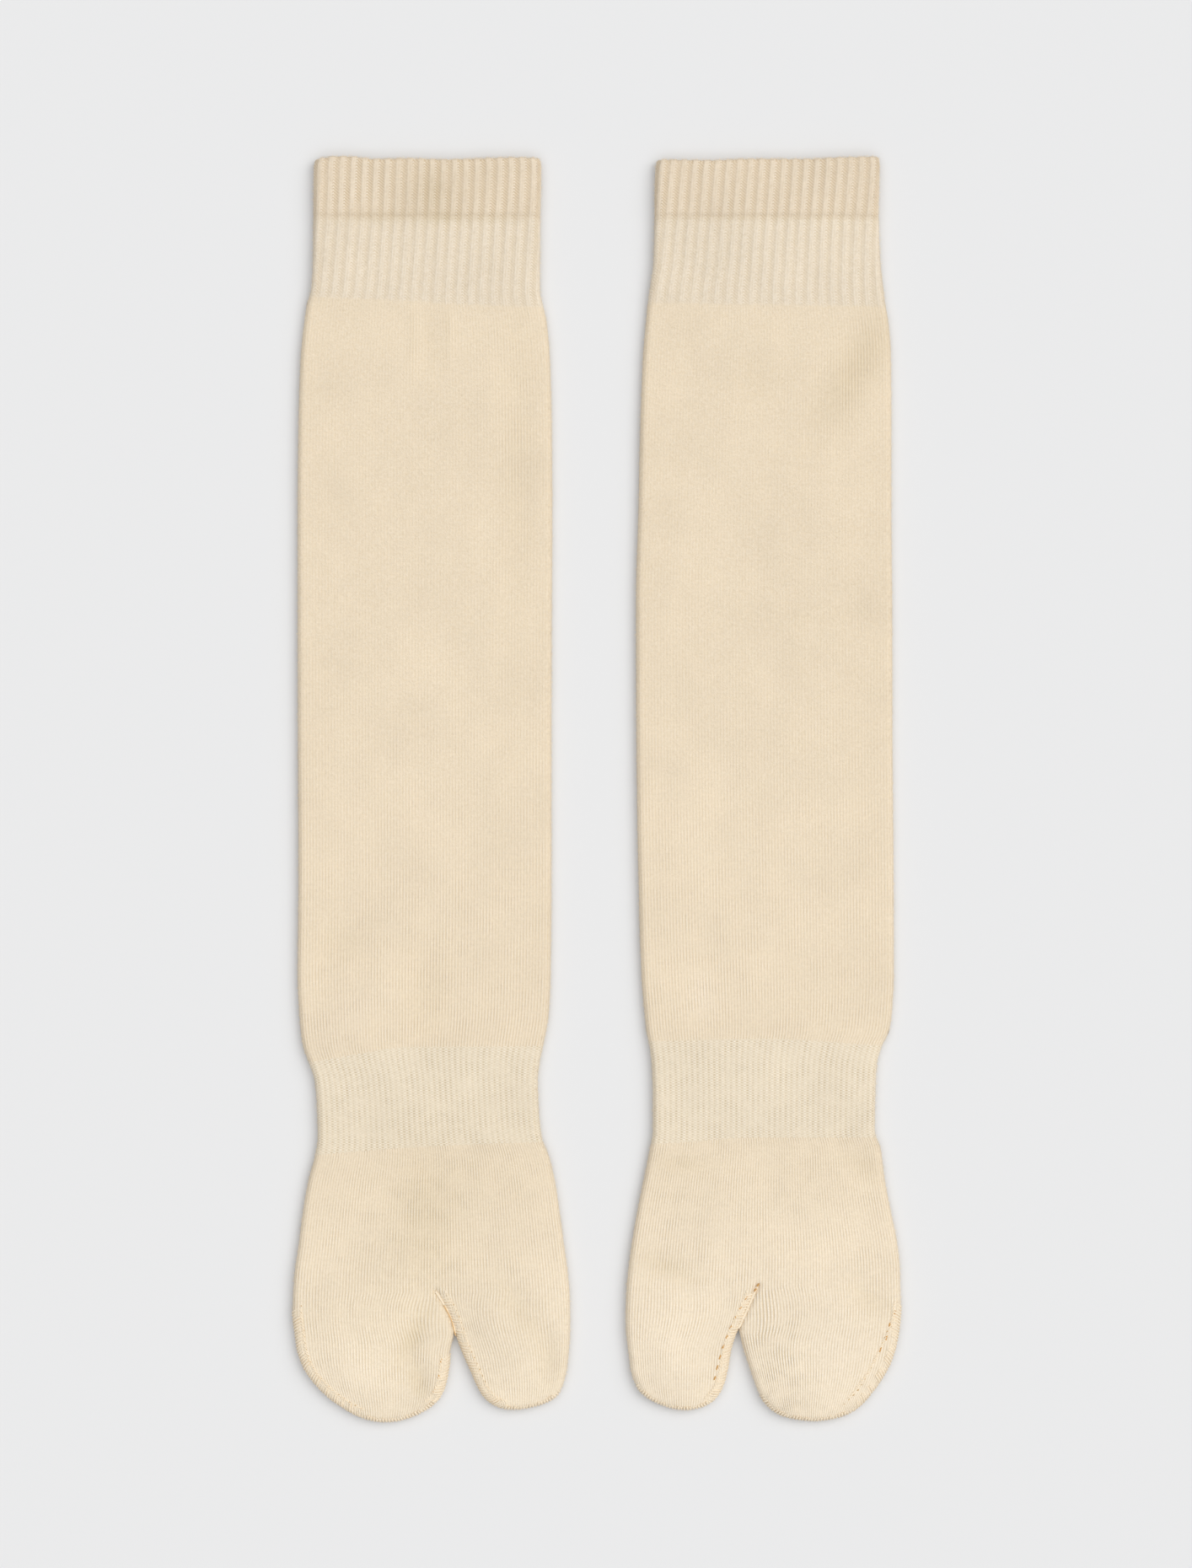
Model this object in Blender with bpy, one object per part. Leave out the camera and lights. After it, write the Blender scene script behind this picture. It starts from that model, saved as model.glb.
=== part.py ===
"""A pair of knitted tabi socks, laid flat side by side.

Each sock is one knitted tube, pressed flat, with two closed toe pockets: a narrow one for the big toe
and a wide one for the other four. The mouth stays open, so each solid is a thin wall round a hollow.
The surface they lie on is z = 0, +Y points to the mouths and the origin is in the middle of the pair.
The tables are in millimetres, in each sock's own frame: across is measured from the sock's middle line
and from_mouth down from its mouth.
"""

import math
from typing import NamedTuple

import bmesh
import bpy
import numpy as np

MM = 0.001

# Driving sizes, in millimetres.
SOCK_LENGTH = 464.8
RIGHT_SOCK_MIDDLE = -63.1
LEFT_SOCK_MIDDLE = 61.9
KNIT_WALL = 1.6
WELT_WALL = 2.4
WELT_DEPTH = 22.3
TOE_PUFF = 1.1
TOE_PUFF_REACH = 18.0
TOE_PUFF_START = 396.0
TOE_PUFF_FULL = 430.0
FOLD_EDGE = 9.0

# How finely each skin is divided.
WIDE_POCKET_COLUMNS = 10
BIG_TOE_COLUMNS = 8
POCKET_ROWS = 8
CURVE_STEPS = 10
SLIT_EASE = 30.0
QUARTER_TURN = [0.0, math.pi / 4, math.pi / 2]

# Finish: plain undyed cotton knit.
KNIT_COLOUR = (0.83, 0.70, 0.53, 1.0)
KNIT_ROUGHNESS = 0.95


class Ring(NamedTuple):
    """One ring of the tube: its place, its two side edges and the height of the flattened tube."""

    from_mouth: float
    left: float
    right: float
    thick: float


class Spot(NamedTuple):
    """One point of a toe pocket's outline."""

    across: float
    from_mouth: float


class Fold(NamedTuple):
    """One soft ridge, or trough where lift is negative, turned anticlockwise from the sock's length."""

    across: float
    from_mouth: float
    half_length: float
    half_width: float
    lift: float
    turn: float


class Sock(NamedTuple):
    """One sock: the tube's rings, then the pockets' outlines, each from its outer side to the slit."""

    name: str
    middle: float
    rings: list
    slit_top: Spot
    left_pocket: list
    right_pocket: list
    left_columns: int
    right_columns: int
    folds: list


RIGHT_SOCK = Sock(
    name="right_foot_sock",
    middle=RIGHT_SOCK_MIDDLE,
    rings=[
        Ring(0.0, -40.3, 42.2, 5.4),
        Ring(3.0, -40.9, 42.8, 5.8),
        Ring(20.4, -41.0, 42.5, 5.8),
        Ring(22.3, -41.0, 42.4, 4.9),
        Ring(24.2, -41.1, 42.5, 5.2),
        Ring(38.0, -41.4, 42.5, 5.2),
        Ring(49.0, -42.0, 42.5, 5.0),
        Ring(54.0, -43.4, 43.4, 4.6),
        Ring(61.0, -44.4, 44.8, 4.4),
        Ring(74.0, -45.7, 45.9, 4.4),
        Ring(98.0, -46.5, 46.6, 4.4),
        Ring(130.0, -46.8, 46.8, 4.4),
        Ring(175.0, -46.8, 46.6, 4.4),
        Ring(220.0, -46.7, 46.5, 4.4),
        Ring(264.0, -46.5, 46.5, 4.4),
        Ring(300.0, -46.8, 46.2, 4.4),
        Ring(315.0, -46.2, 45.5, 4.4),
        Ring(326.0, -45.0, 43.6, 4.5),
        Ring(333.0, -42.6, 42.1, 4.7),
        Ring(339.0, -40.6, 41.5, 4.8),
        Ring(351.0, -39.6, 41.9, 4.8),
        Ring(360.5, -39.4, 43.0, 4.8),
        Ring(367.0, -40.4, 45.5, 4.6),
        Ring(376.0, -42.8, 47.7, 4.5),
        Ring(388.5, -45.0, 49.6, 4.5),
        Ring(401.0, -46.6, 51.3, 4.6),
        Ring(410.0, -47.9, 52.5, 4.7),
        Ring(417.0, -48.4, 53.2, 4.8),
    ],
    slit_top=Spot(4.0, 417.0),
    left_pocket=[
        Spot(-48.6, 424.0),
        Spot(-47.7, 432.0),
        Spot(-46.5, 439.5),
        Spot(-43.4, 446.8),
        Spot(-37.2, 454.2),
        Spot(-30.7, 459.2),
        Spot(-22.9, 463.3),
        Spot(-14.8, 464.8),
        Spot(-6.2, 463.4),
        Spot(2.0, 459.3),
        Spot(6.3, 454.0),
        Spot(8.4, 446.5),
        Spot(9.2, 439.3),
        Spot(10.1, 435.0),
        Spot(10.7, 431.5),
        Spot(9.2, 427.0),
        Spot(6.6, 421.5),
    ],
    right_pocket=[
        Spot(53.4, 430.0),
        Spot(52.9, 439.3),
        Spot(51.8, 447.6),
        Spot(49.5, 453.8),
        Spot(45.6, 457.2),
        Spot(39.7, 459.3),
        Spot(33.5, 460.2),
        Spot(28.8, 459.8),
        Spot(24.2, 457.7),
        Spot(20.6, 453.8),
        Spot(16.9, 445.8),
        Spot(14.0, 439.3),
        Spot(11.5, 431.9),
        Spot(9.8, 426.7),
        Spot(7.2, 421.2),
    ],
    left_columns=WIDE_POCKET_COLUMNS,
    right_columns=BIG_TOE_COLUMNS,
    folds=[
        Fold(2.5, 68.0, 15.0, 5.0, 0.5, 0.0),
        Fold(34.0, 108.0, 60.0, 7.0, -0.4, 0.0),
        Fold(-30.0, 289.0, 12.0, 7.0, -0.4, -35.0),
        Fold(-27.0, 316.0, 19.0, 7.0, 0.8, -50.0),
        Fold(0.0, 310.0, 18.0, 7.0, -0.4, 0.0),
        Fold(38.0, 425.0, 16.0, 5.0, -0.5, 35.0),
        Fold(0.0, 389.0, 22.0, 9.0, -0.3, 0.0),
    ],
)

LEFT_SOCK = Sock(
    name="left_foot_sock",
    middle=LEFT_SOCK_MIDDLE,
    rings=[
        Ring(0.0, -39.7, 41.9, 5.4),
        Ring(3.0, -40.3, 42.2, 5.8),
        Ring(20.4, -40.7, 41.9, 5.8),
        Ring(22.3, -40.7, 41.9, 4.9),
        Ring(24.2, -40.8, 42.0, 5.2),
        Ring(38.0, -41.1, 42.6, 5.2),
        Ring(48.0, -42.3, 43.5, 5.0),
        Ring(54.0, -43.1, 44.3, 4.6),
        Ring(61.0, -43.8, 45.4, 4.4),
        Ring(72.0, -44.7, 46.3, 4.4),
        Ring(98.0, -45.8, 46.5, 4.4),
        Ring(130.0, -46.5, 46.5, 4.4),
        Ring(165.0, -47.4, 46.8, 4.4),
        Ring(215.0, -47.2, 46.9, 4.4),
        Ring(264.0, -46.5, 47.3, 4.4),
        Ring(300.0, -45.4, 47.4, 4.4),
        Ring(314.0, -44.3, 46.7, 4.4),
        Ring(321.0, -43.6, 45.7, 4.5),
        Ring(327.0, -42.4, 42.9, 4.7),
        Ring(334.0, -41.6, 41.1, 4.8),
        Ring(346.0, -41.2, 40.6, 4.8),
        Ring(358.0, -41.2, 40.4, 4.8),
        Ring(364.0, -42.2, 42.4, 4.6),
        Ring(376.0, -44.6, 44.1, 4.5),
        Ring(388.5, -47.1, 46.5, 4.5),
        Ring(399.0, -48.9, 48.6, 4.6),
        Ring(408.0, -50.1, 49.6, 4.7),
        Ring(414.8, -50.8, 49.8, 4.8),
    ],
    slit_top=Spot(-2.8, 414.8),
    left_pocket=[
        Spot(-51.2, 424.0),
        Spot(-51.0, 432.0),
        Spot(-50.2, 439.3),
        Spot(-49.2, 446.5),
        Spot(-47.2, 451.7),
        Spot(-44.2, 455.2),
        Spot(-39.4, 458.0),
        Spot(-34.0, 459.8),
        Spot(-29.4, 460.4),
        Spot(-24.8, 459.8),
        Spot(-20.2, 457.8),
        Spot(-16.8, 454.0),
        Spot(-14.8, 449.2),
        Spot(-13.6, 443.6),
        Spot(-12.5, 437.5),
        Spot(-10.8, 432.4),
        Spot(-9.7, 429.9),
        Spot(-6.4, 422.3),
    ],
    right_pocket=[
        Spot(49.9, 422.0),
        Spot(49.3, 430.0),
        Spot(48.1, 436.8),
        Spot(45.6, 444.2),
        Spot(40.9, 451.9),
        Spot(35.0, 458.8),
        Spot(28.6, 462.6),
        Spot(18.6, 464.4),
        Spot(7.4, 462.9),
        Spot(1.2, 459.1),
        Spot(-2.2, 454.2),
        Spot(-4.2, 449.2),
        Spot(-6.2, 443.4),
        Spot(-8.0, 437.7),
        Spot(-8.9, 434.0),
        Spot(-9.2, 430.1),
        Spot(-5.9, 422.5),
    ],
    left_columns=BIG_TOE_COLUMNS,
    right_columns=WIDE_POCKET_COLUMNS,
    folds=[
        Fold(33.0, 77.0, 24.0, 7.0, -0.5, -35.0),
        Fold(-3.0, 84.0, 10.0, 7.0, -0.3, 0.0),
        Fold(12.0, 168.0, 34.0, 5.0, -0.35, 90.0),
        Fold(-30.0, 240.0, 40.0, 9.0, 0.3, 0.0),
        Fold(-8.0, 300.0, 22.0, 9.0, 0.4, 20.0),
        Fold(-26.0, 405.0, 10.0, 5.0, -0.4, 60.0),
        Fold(38.0, 410.0, 12.0, 5.0, -0.4, 60.0),
    ],
)


def clear_scene():
    """Remove whatever the file starts with."""
    for thing in list(bpy.data.objects):
        bpy.data.objects.remove(thing, do_unlink=True)


def ease(value):
    """A smooth step from 0 to 1 as value goes from 0 to 1."""
    value = np.clip(value, 0.0, 1.0)
    return value * value * (3.0 - 2.0 * value)


def wall_at(from_mouth):
    """Thickness of the cloth: the welt is turned over and doubled."""
    return WELT_WALL + (KNIT_WALL - WELT_WALL) * ease((from_mouth - WELT_DEPTH + 2.0) / 2.0)


def smooth_curve(spots):
    """A curve through the spots, as an array of points (Catmull-Rom)."""
    knots = np.array([spots[0], *spots, spots[-1]], float)
    points = []
    for before, start, end, after in zip(knots, knots[1:], knots[2:], knots[3:]):
        for step in range(CURVE_STEPS):
            t = step / CURVE_STEPS
            points.append(
                start
                + 0.5 * t * (end - before)
                + t * t * (before - 2.5 * start + 2.0 * end - 0.5 * after)
                + t**3 * (1.5 * (start - end) + 0.5 * (after - before))
            )
    points.append(knots[-1])
    return np.array(points)


def lengths_along(curve):
    """Distance from the start of the curve to each of its points."""
    steps = np.linalg.norm(np.diff(curve, axis=0), axis=1)
    return np.concatenate([[0.0], np.cumsum(steps)])


def points_along(curve, fractions):
    """Points at these fractions of the curve's length."""
    along = lengths_along(curve)
    wanted = np.asarray(fractions) * along[-1]
    columns = [np.interp(wanted, along, curve[:, axis]) for axis in range(2)]
    return np.stack(columns, axis=1)


def moved_inwards(curve, distance, side):
    """The curve moved sideways; side is 1 or -1, whichever points into the pocket."""
    tangent = np.gradient(curve, axis=0)
    tangent /= np.linalg.norm(tangent, axis=1, keepdims=True)
    normal = np.stack([tangent[:, 1], -tangent[:, 0]], axis=1)
    return curve + side * distance * normal


def split_at_tip(curve):
    """The curve in three, outer side, tip and slit side, parted where it turns past 45 degrees."""
    step = np.abs(np.diff(curve, axis=0))
    across_more = step[:, 0] > step[:, 1]
    candidates = np.flatnonzero(across_more)
    first = last = candidates[len(candidates) // 2]
    while across_more[first - 1]:
        first -= 1
    while across_more[last + 1]:
        last += 1
    return curve[: first + 1], curve[first : last + 2], curve[last + 1 :]


def stations(count, length, radius, far_turn):
    """Fractions along a length, close together where the cloth turns over.

    The near end always turns over, with this radius. The far end turns over by far_turn, from 0 where
    the tube carries on to 1 at a pocket's own edge.
    """
    turn = radius * (1.0 - np.cos(QUARTER_TURN)) / length
    carried_on = np.concatenate([turn[:-1], np.linspace(turn[-1], 1.0, count - 1)])
    middle = np.linspace(turn[-1], 1.0 - turn[-1], count - 3)
    turned = np.concatenate([turn[:-1], middle, 1.0 - turn[-2::-1]])
    return carried_on + (turned - carried_on) * far_turn


def ring_values(sock, from_mouth):
    """Left edge, right edge and height of the flattened tube at this place."""
    table = np.array(sock.rings)
    return [np.interp(from_mouth, table[:, 0], table[:, column]) for column in (1, 2, 3)]


def tube_row(sock, from_mouth, slit_row, inset):
    """One row of points across the flattened tube, with its edges moved in by inset."""
    left, right, thick = ring_values(sock, from_mouth)
    slit_left, slit_right, _ = ring_values(sock, sock.slit_top.from_mouth)
    share = (sock.slit_top.across - slit_left) / (slit_right - slit_left)
    middle = left + share * (right - left)
    left += inset
    right -= inset
    radius = thick / 2 - inset
    far_turn = float(ease(1.0 - (slit_row - from_mouth) / SLIT_EASE))
    from_left = left + stations(sock.left_columns, middle - left, radius, far_turn) * (middle - left)
    from_right = right - stations(sock.right_columns, right - middle, radius, far_turn) * (right - middle)
    xs = np.concatenate([from_left, from_right[-2::-1]])
    return np.stack([xs, np.full(len(xs), from_mouth)], axis=1)


def pocket_outline(sock, spots, outer, side, inset):
    """A pocket's outline from its outer side round the tip to the slit, moved in by inset."""
    slit = sock.slit_top
    curve = smooth_curve([Spot(outer, slit.from_mouth), *spots, slit])
    curve = moved_inwards(curve, inset, side)
    curve[0] = [outer + side * inset, slit.from_mouth - inset]
    curve[-1] = [slit.across, slit.from_mouth - inset]
    return curve


def pocket_patch(top_row, outline, radius):
    """A grid of points that fills a pocket, as a patch stretched between its four sides.

    Columns run from the outer side to the slit. The first row is the tube's last one, and the last
    row lies on the tip's outline.
    """
    side, tip, slit = split_at_tip(outline)
    down = 1.0 - stations(POCKET_ROWS, lengths_along(side)[-1], radius, 0.0)[::-1]
    share = lengths_along(top_row) / lengths_along(top_row)[-1]
    side_points = points_along(side, down)[:, None]
    slit_points = points_along(slit[::-1], down)[:, None]
    tip_points = points_along(tip, share)[None]
    u = share[None, :, None]
    v = down[:, None, None]
    first_row = (1 - u) * top_row[0] + u * top_row[-1]
    last_row = (1 - u) * tip[0] + u * tip[-1]
    between = (1 - u) * side_points + u * slit_points
    return between + v * (tip_points - last_row) + (1 - v) * (top_row - first_row)


def skin_grids(sock, inner):
    """Plan points of one skin: the tube, the two pockets, and the outline that they share."""
    inset = KNIT_WALL if inner else 0.0
    slit_row = sock.slit_top.from_mouth - inset
    left, right, thick = ring_values(sock, sock.slit_top.from_mouth)
    radius = thick / 2 - inset
    near_slit = list(slit_row - radius * (1.0 - np.cos(QUARTER_TURN))[::-1])
    rows = [ring.from_mouth for ring in sock.rings if ring.from_mouth < near_slit[0] - radius] + near_slit
    tube = [tube_row(sock, row, slit_row, float(wall_at(row)) if inner else 0.0) for row in rows]
    left_outline = pocket_outline(sock, sock.left_pocket, left, 1, inset)
    right_outline = pocket_outline(sock, sock.right_pocket, right, -1, inset)
    last = tube[-1]
    left_patch = pocket_patch(last[: sock.left_columns + 1], left_outline, radius)
    right_patch = pocket_patch(last[sock.left_columns :][::-1], right_outline, radius)
    tube = np.array(tube)
    outline = np.concatenate([tube[:, 0], left_outline, right_outline[::-1], tube[::-1, -1]])
    return tube, [left_patch, right_patch], outline


def distance_to(outline, points):
    """Distance in plan from each point to the outline."""
    start = outline[:-1]
    step = outline[1:] - start
    size = np.maximum((step**2).sum(axis=1), 1e-12)
    offset = points[..., None, :] - start
    t = np.clip((offset * step).sum(axis=-1) / size, 0.0, 1.0)
    return np.linalg.norm(offset - t[..., None] * step, axis=-1).min(axis=-1)


def fold_lift(sock, points):
    """Height that the folds add or take away at each point."""
    lift = np.zeros(points.shape[:-1])
    for fold in sock.folds:
        turn = math.radians(fold.turn)
        x = points[..., 0] - fold.across
        y = fold.from_mouth - points[..., 1]
        along = (y * math.cos(turn) - x * math.sin(turn)) / fold.half_length
        beside = (x * math.cos(turn) + y * math.sin(turn)) / fold.half_width
        lift += fold.lift * np.exp(-(along**2) - beside**2)
    return lift


def skin_heights(sock, points, outline, inner):
    """Heights of the upper and the lower layer of one skin."""
    wall = wall_at(points[..., 1]) if inner else 0.0
    _, _, thick = ring_values(sock, points[..., 1])
    radius = thick / 2 - wall
    edge = distance_to(outline, points)
    bulge = radius * np.sqrt(1.0 - (1.0 - np.minimum(edge / radius, 1.0)) ** 2)
    from_edge = edge + wall
    puff = TOE_PUFF * ease(from_edge / TOE_PUFF_REACH)
    puff = puff * ease((points[..., 1] - TOE_PUFF_START) / (TOE_PUFF_FULL - TOE_PUFF_START))
    puff = puff + fold_lift(sock, points) * ease((from_edge - 2.0) / FOLD_EDGE)
    return thick / 2 + bulge + puff * ease(edge / radius), thick / 2 - bulge


def add_grid(bm, sock, grid, heights, on_outline, first_row):
    """Add one grid's upper and lower layers, sharing the points on the outline, and return their points."""
    layers = ([], [])
    for row, points in enumerate(grid):
        if row == 0 and first_row:
            layers[0].append(first_row[0])
            layers[1].append(first_row[1])
            continue
        upper = []
        lower = []
        for column, (across, from_mouth) in enumerate(points):
            x = (sock.middle + across) * MM
            y = (SOCK_LENGTH / 2 - from_mouth) * MM
            upper.append(bm.verts.new((x, y, heights[0][row, column] * MM)))
            if on_outline[row, column]:
                lower.append(upper[-1])
            else:
                lower.append(bm.verts.new((x, y, heights[1][row, column] * MM)))
        layers[0].append(upper)
        layers[1].append(lower)
    for layer in layers:
        for row, after in zip(layer, layer[1:]):
            for column in range(len(row) - 1):
                bm.faces.new((row[column], row[column + 1], after[column + 1], after[column]))
    return layers


def add_skin(bm, sock, inner):
    """Add one skin of the sock, its outside or its inside, and return the points round its mouth."""
    tube, pockets, outline = skin_grids(sock, inner)
    on_outline = np.zeros(tube.shape[:2], bool)
    on_outline[:, [0, -1]] = True
    on_outline[-1, sock.left_columns] = True
    tube_layers = add_grid(bm, sock, tube, skin_heights(sock, tube, outline, inner), on_outline, None)
    shared = [layer[-1] for layer in tube_layers]
    left_row = [row[: sock.left_columns + 1] for row in shared]
    right_row = [row[sock.left_columns :][::-1] for row in shared]
    for patch, first_row in zip(pockets, (left_row, right_row)):
        on_outline = np.zeros(patch.shape[:2], bool)
        on_outline[:, [0, -1]] = True
        on_outline[-1] = True
        add_grid(bm, sock, patch, skin_heights(sock, patch, outline, inner), on_outline, first_row)
    return tube_layers[0][0] + tube_layers[1][0][-2:0:-1]


def knit_material(name):
    """Plain cotton knit."""
    material = bpy.data.materials.new(name)
    material.use_nodes = True
    shader = material.node_tree.nodes["Principled BSDF"]
    shader.inputs["Base Color"].default_value = KNIT_COLOUR
    shader.inputs["Roughness"].default_value = KNIT_ROUGHNESS
    shader.inputs["Metallic"].default_value = 0.0
    return material


def build_sock(sock):
    """One sock as a closed wall: its outside, its inside, and the rim that joins them at the mouth."""
    bm = bmesh.new()
    outside = add_skin(bm, sock, inner=False)
    inside = add_skin(bm, sock, inner=True)
    for index in range(len(outside)):
        bm.faces.new((outside[index - 1], outside[index], inside[index], inside[index - 1]))
    bmesh.ops.triangulate(bm, faces=bm.faces[:], quad_method="SHORT_EDGE")
    bmesh.ops.recalc_face_normals(bm, faces=bm.faces[:])
    mesh = bpy.data.meshes.new(sock.name)
    bm.to_mesh(mesh)
    bm.free()
    mesh.shade_smooth()
    mesh.set_sharp_from_angle(angle=math.radians(50))
    mesh.materials.append(knit_material(f"{sock.name}_knit"))
    thing = bpy.data.objects.new(sock.name, mesh)
    bpy.context.scene.collection.objects.link(thing)
    return thing


def main():
    """Clear the scene and build the pair."""
    clear_scene()
    for sock in (RIGHT_SOCK, LEFT_SOCK):
        build_sock(sock)


main()
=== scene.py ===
"""Two knitted tabi socks, laid flat side by side, dressed for a render.

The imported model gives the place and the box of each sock. Here each one is made again as a closed
knitted wall at a finer step, with its ribs, its folds and the stitches of its linked toe seams. The
tables are in millimetres in each sock's own frame: across is measured from the sock's middle line and
from_mouth down from its mouth. Everything that leaves for Blender is turned to metres in one place.
"""

import logging
import math
from dataclasses import dataclass, field
from enum import Enum
from functools import partial
from typing import Any, Callable, NamedTuple

import bmesh
import bpy
import numpy as np
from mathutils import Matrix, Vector


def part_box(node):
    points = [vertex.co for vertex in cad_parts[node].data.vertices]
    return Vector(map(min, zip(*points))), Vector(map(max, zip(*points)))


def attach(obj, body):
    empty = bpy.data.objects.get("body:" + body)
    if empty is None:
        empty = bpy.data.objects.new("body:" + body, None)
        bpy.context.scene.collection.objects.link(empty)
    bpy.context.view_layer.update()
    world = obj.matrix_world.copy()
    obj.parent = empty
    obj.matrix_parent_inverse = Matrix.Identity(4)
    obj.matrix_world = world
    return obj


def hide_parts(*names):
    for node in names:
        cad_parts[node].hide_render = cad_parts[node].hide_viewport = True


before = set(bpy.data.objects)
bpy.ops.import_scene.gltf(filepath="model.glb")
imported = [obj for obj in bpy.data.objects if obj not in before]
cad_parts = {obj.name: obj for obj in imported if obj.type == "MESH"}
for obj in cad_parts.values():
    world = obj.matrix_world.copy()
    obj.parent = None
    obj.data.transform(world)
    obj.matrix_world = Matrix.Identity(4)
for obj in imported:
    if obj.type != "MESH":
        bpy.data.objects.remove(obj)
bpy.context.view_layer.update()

logging.basicConfig(level=logging.INFO, format="%(message)s")
log = logging.getLogger("tabi")

MM = 0.001

# The kinds of node that come up most, and the setting of a map range that eases in and out.
MATH = "ShaderNodeMath"
VECTOR = "ShaderNodeVectorMath"
RANGE = "ShaderNodeMapRange"
MIX = "ShaderNodeMix"
NOISE = "ShaderNodeTexNoise"
SPLIT = "ShaderNodeSeparateXYZ"
RANDOM = "FunctionNodeRandomValue"
NAMED = "GeometryNodeInputNamedAttribute"
CIRCLE = "GeometryNodeCurvePrimitiveCircle"
SWEEP = "GeometryNodeCurveToMesh"
ON_POINTS = "GeometryNodeInstanceOnPoints"
SMOOTH = {"interpolation_type": "SMOOTHSTEP"}

Socket = bpy.types.NodeSocket
Adder = Callable[..., Socket]

# The knit's own counts and pitches.
WALES_ACROSS = 84
WALES_PER_RIB = 4
FOOT_WALES_ACROSS = 94
COURSE = 0.95
CUFF_COURSE = 1.08
WELT_DEPTH = 22.3
KNIT_WALL = 1.6
WELT_WALL = 2.4

# How clear the stitches are in the cuff and the leg, and where and how much clearer the foot is.
LEG_CRISP = 0.2
FOOT_CRISPER = 0.42
CRISPER_START = 130.0
CRISPER_REACH = 220.0

# The puff of the toes, how far in from the edge folds are full, where the toes' paler colour comes in,
# and the cloth's own slight waves, each with a length, a slant in degrees and a height.
TOE_PUFF = 1.1
TOE_PUFF_REACH = 18.0
TOE_PUFF_START = 396.0
TOE_PUFF_FULL = 430.0
FOLD_EDGE = 9.0
TOE_TONE_START = 350.0
TOE_TONE_FULL = 440.0
WAVES = ((41.0, 20.0, 0.10), (27.0, 75.0, 0.07), (19.0, -35.0, 0.05), (12.0, 8.0, 0.035))

# How finely the cloth and its seams are divided.
WIDE_POCKET_COLUMNS = 90
BIG_TOE_COLUMNS = 75
TURN_STEPS = 5
INSIDE_EVERY = 5
POCKET_ROWS = 30
LIP_STEPS = 6
CURVE_STEPS = 12
SEAM_STEP = 0.6
LEAST_ROW = 0.6
FINE_NEAR_MOUTH = 12.0
FINE_STATIONS = 48
SIDE_STATIONS = 150
POINTS_AT_ONCE = 4000
ROUNDING = 1e-6

# How far from the slit the columns begin to close up to it, from the pocket's top the knit bends to
# follow the pocket, and from the mouth its uneven edge is felt; and the share of a pocket's width at
# each side where the knit follows the sides at once.
SLIT_EASE = 30.0
WALE_BEND = 26.0
MOUTH_REACH = 16.0
STRAIGHT_SHARE = 0.3


class Ring(NamedTuple):
    """One ring of the tube: its place, its two side edges and the height of the flattened tube."""

    from_mouth: float
    left: float
    right: float
    thick: float


class Spot(NamedTuple):
    """One point in the plan of a sock."""

    across: float
    from_mouth: float


class Oval(NamedTuple):
    """One soft oval, turned anticlockwise from the sock's length by so many degrees.

    Its amount is a fold's lift in mm, the darkness of the painted shade along a fold, crease or groove, or
    how much crisper the stitches are there; below nought it is a trough, or painted light on a raised fold.
    """

    across: float
    from_mouth: float
    half_length: float
    half_width: float
    amount: float
    turn: float = 0.0


class RowStep(NamedTuple):
    """From this place on, the tube's rows are this far apart."""

    from_mouth: float
    step: float


class Lean(NamedTuple):
    """How many stitch columns the knit has turned round the tube at this place."""

    from_mouth: float
    wales: float


ROW_STEPS = [
    RowStep(1.2, 0.9),
    RowStep(20.0, 0.45),
    RowStep(25.0, 0.9),
    RowStep(56.0, 2.6),
    RowStep(300.0, 1.9),
    RowStep(320.0, 1.2),
    RowStep(372.0, 1.8),
    RowStep(400.0, 1.2),
]


class Pocket(Enum):
    """The two toe pockets of a sock, as they lie."""

    LEFT = 1
    RIGHT = -1


@dataclass(frozen=True)
class SockPlan:
    """The flat plan of one sock: its rings, its pockets' outlines from the outer side to the slit,
    the lean of its ribs, the edges of its zones, its folds, its painted shade and light along the folds, and
    its crisper places."""

    node: str
    slot: str
    rings: list[Ring]
    slit_top: Spot
    left_pocket: list[Spot]
    right_pocket: list[Spot]
    left_columns: int
    right_columns: int
    lean: list[Lean]
    mouth_line: list[Spot]
    cuff_end: list[Spot]
    band_start: list[Spot]
    band_end: list[Spot]
    folds: list[Oval]
    painted_fold_shading: list[Oval]
    crisp: list[Oval]


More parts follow.
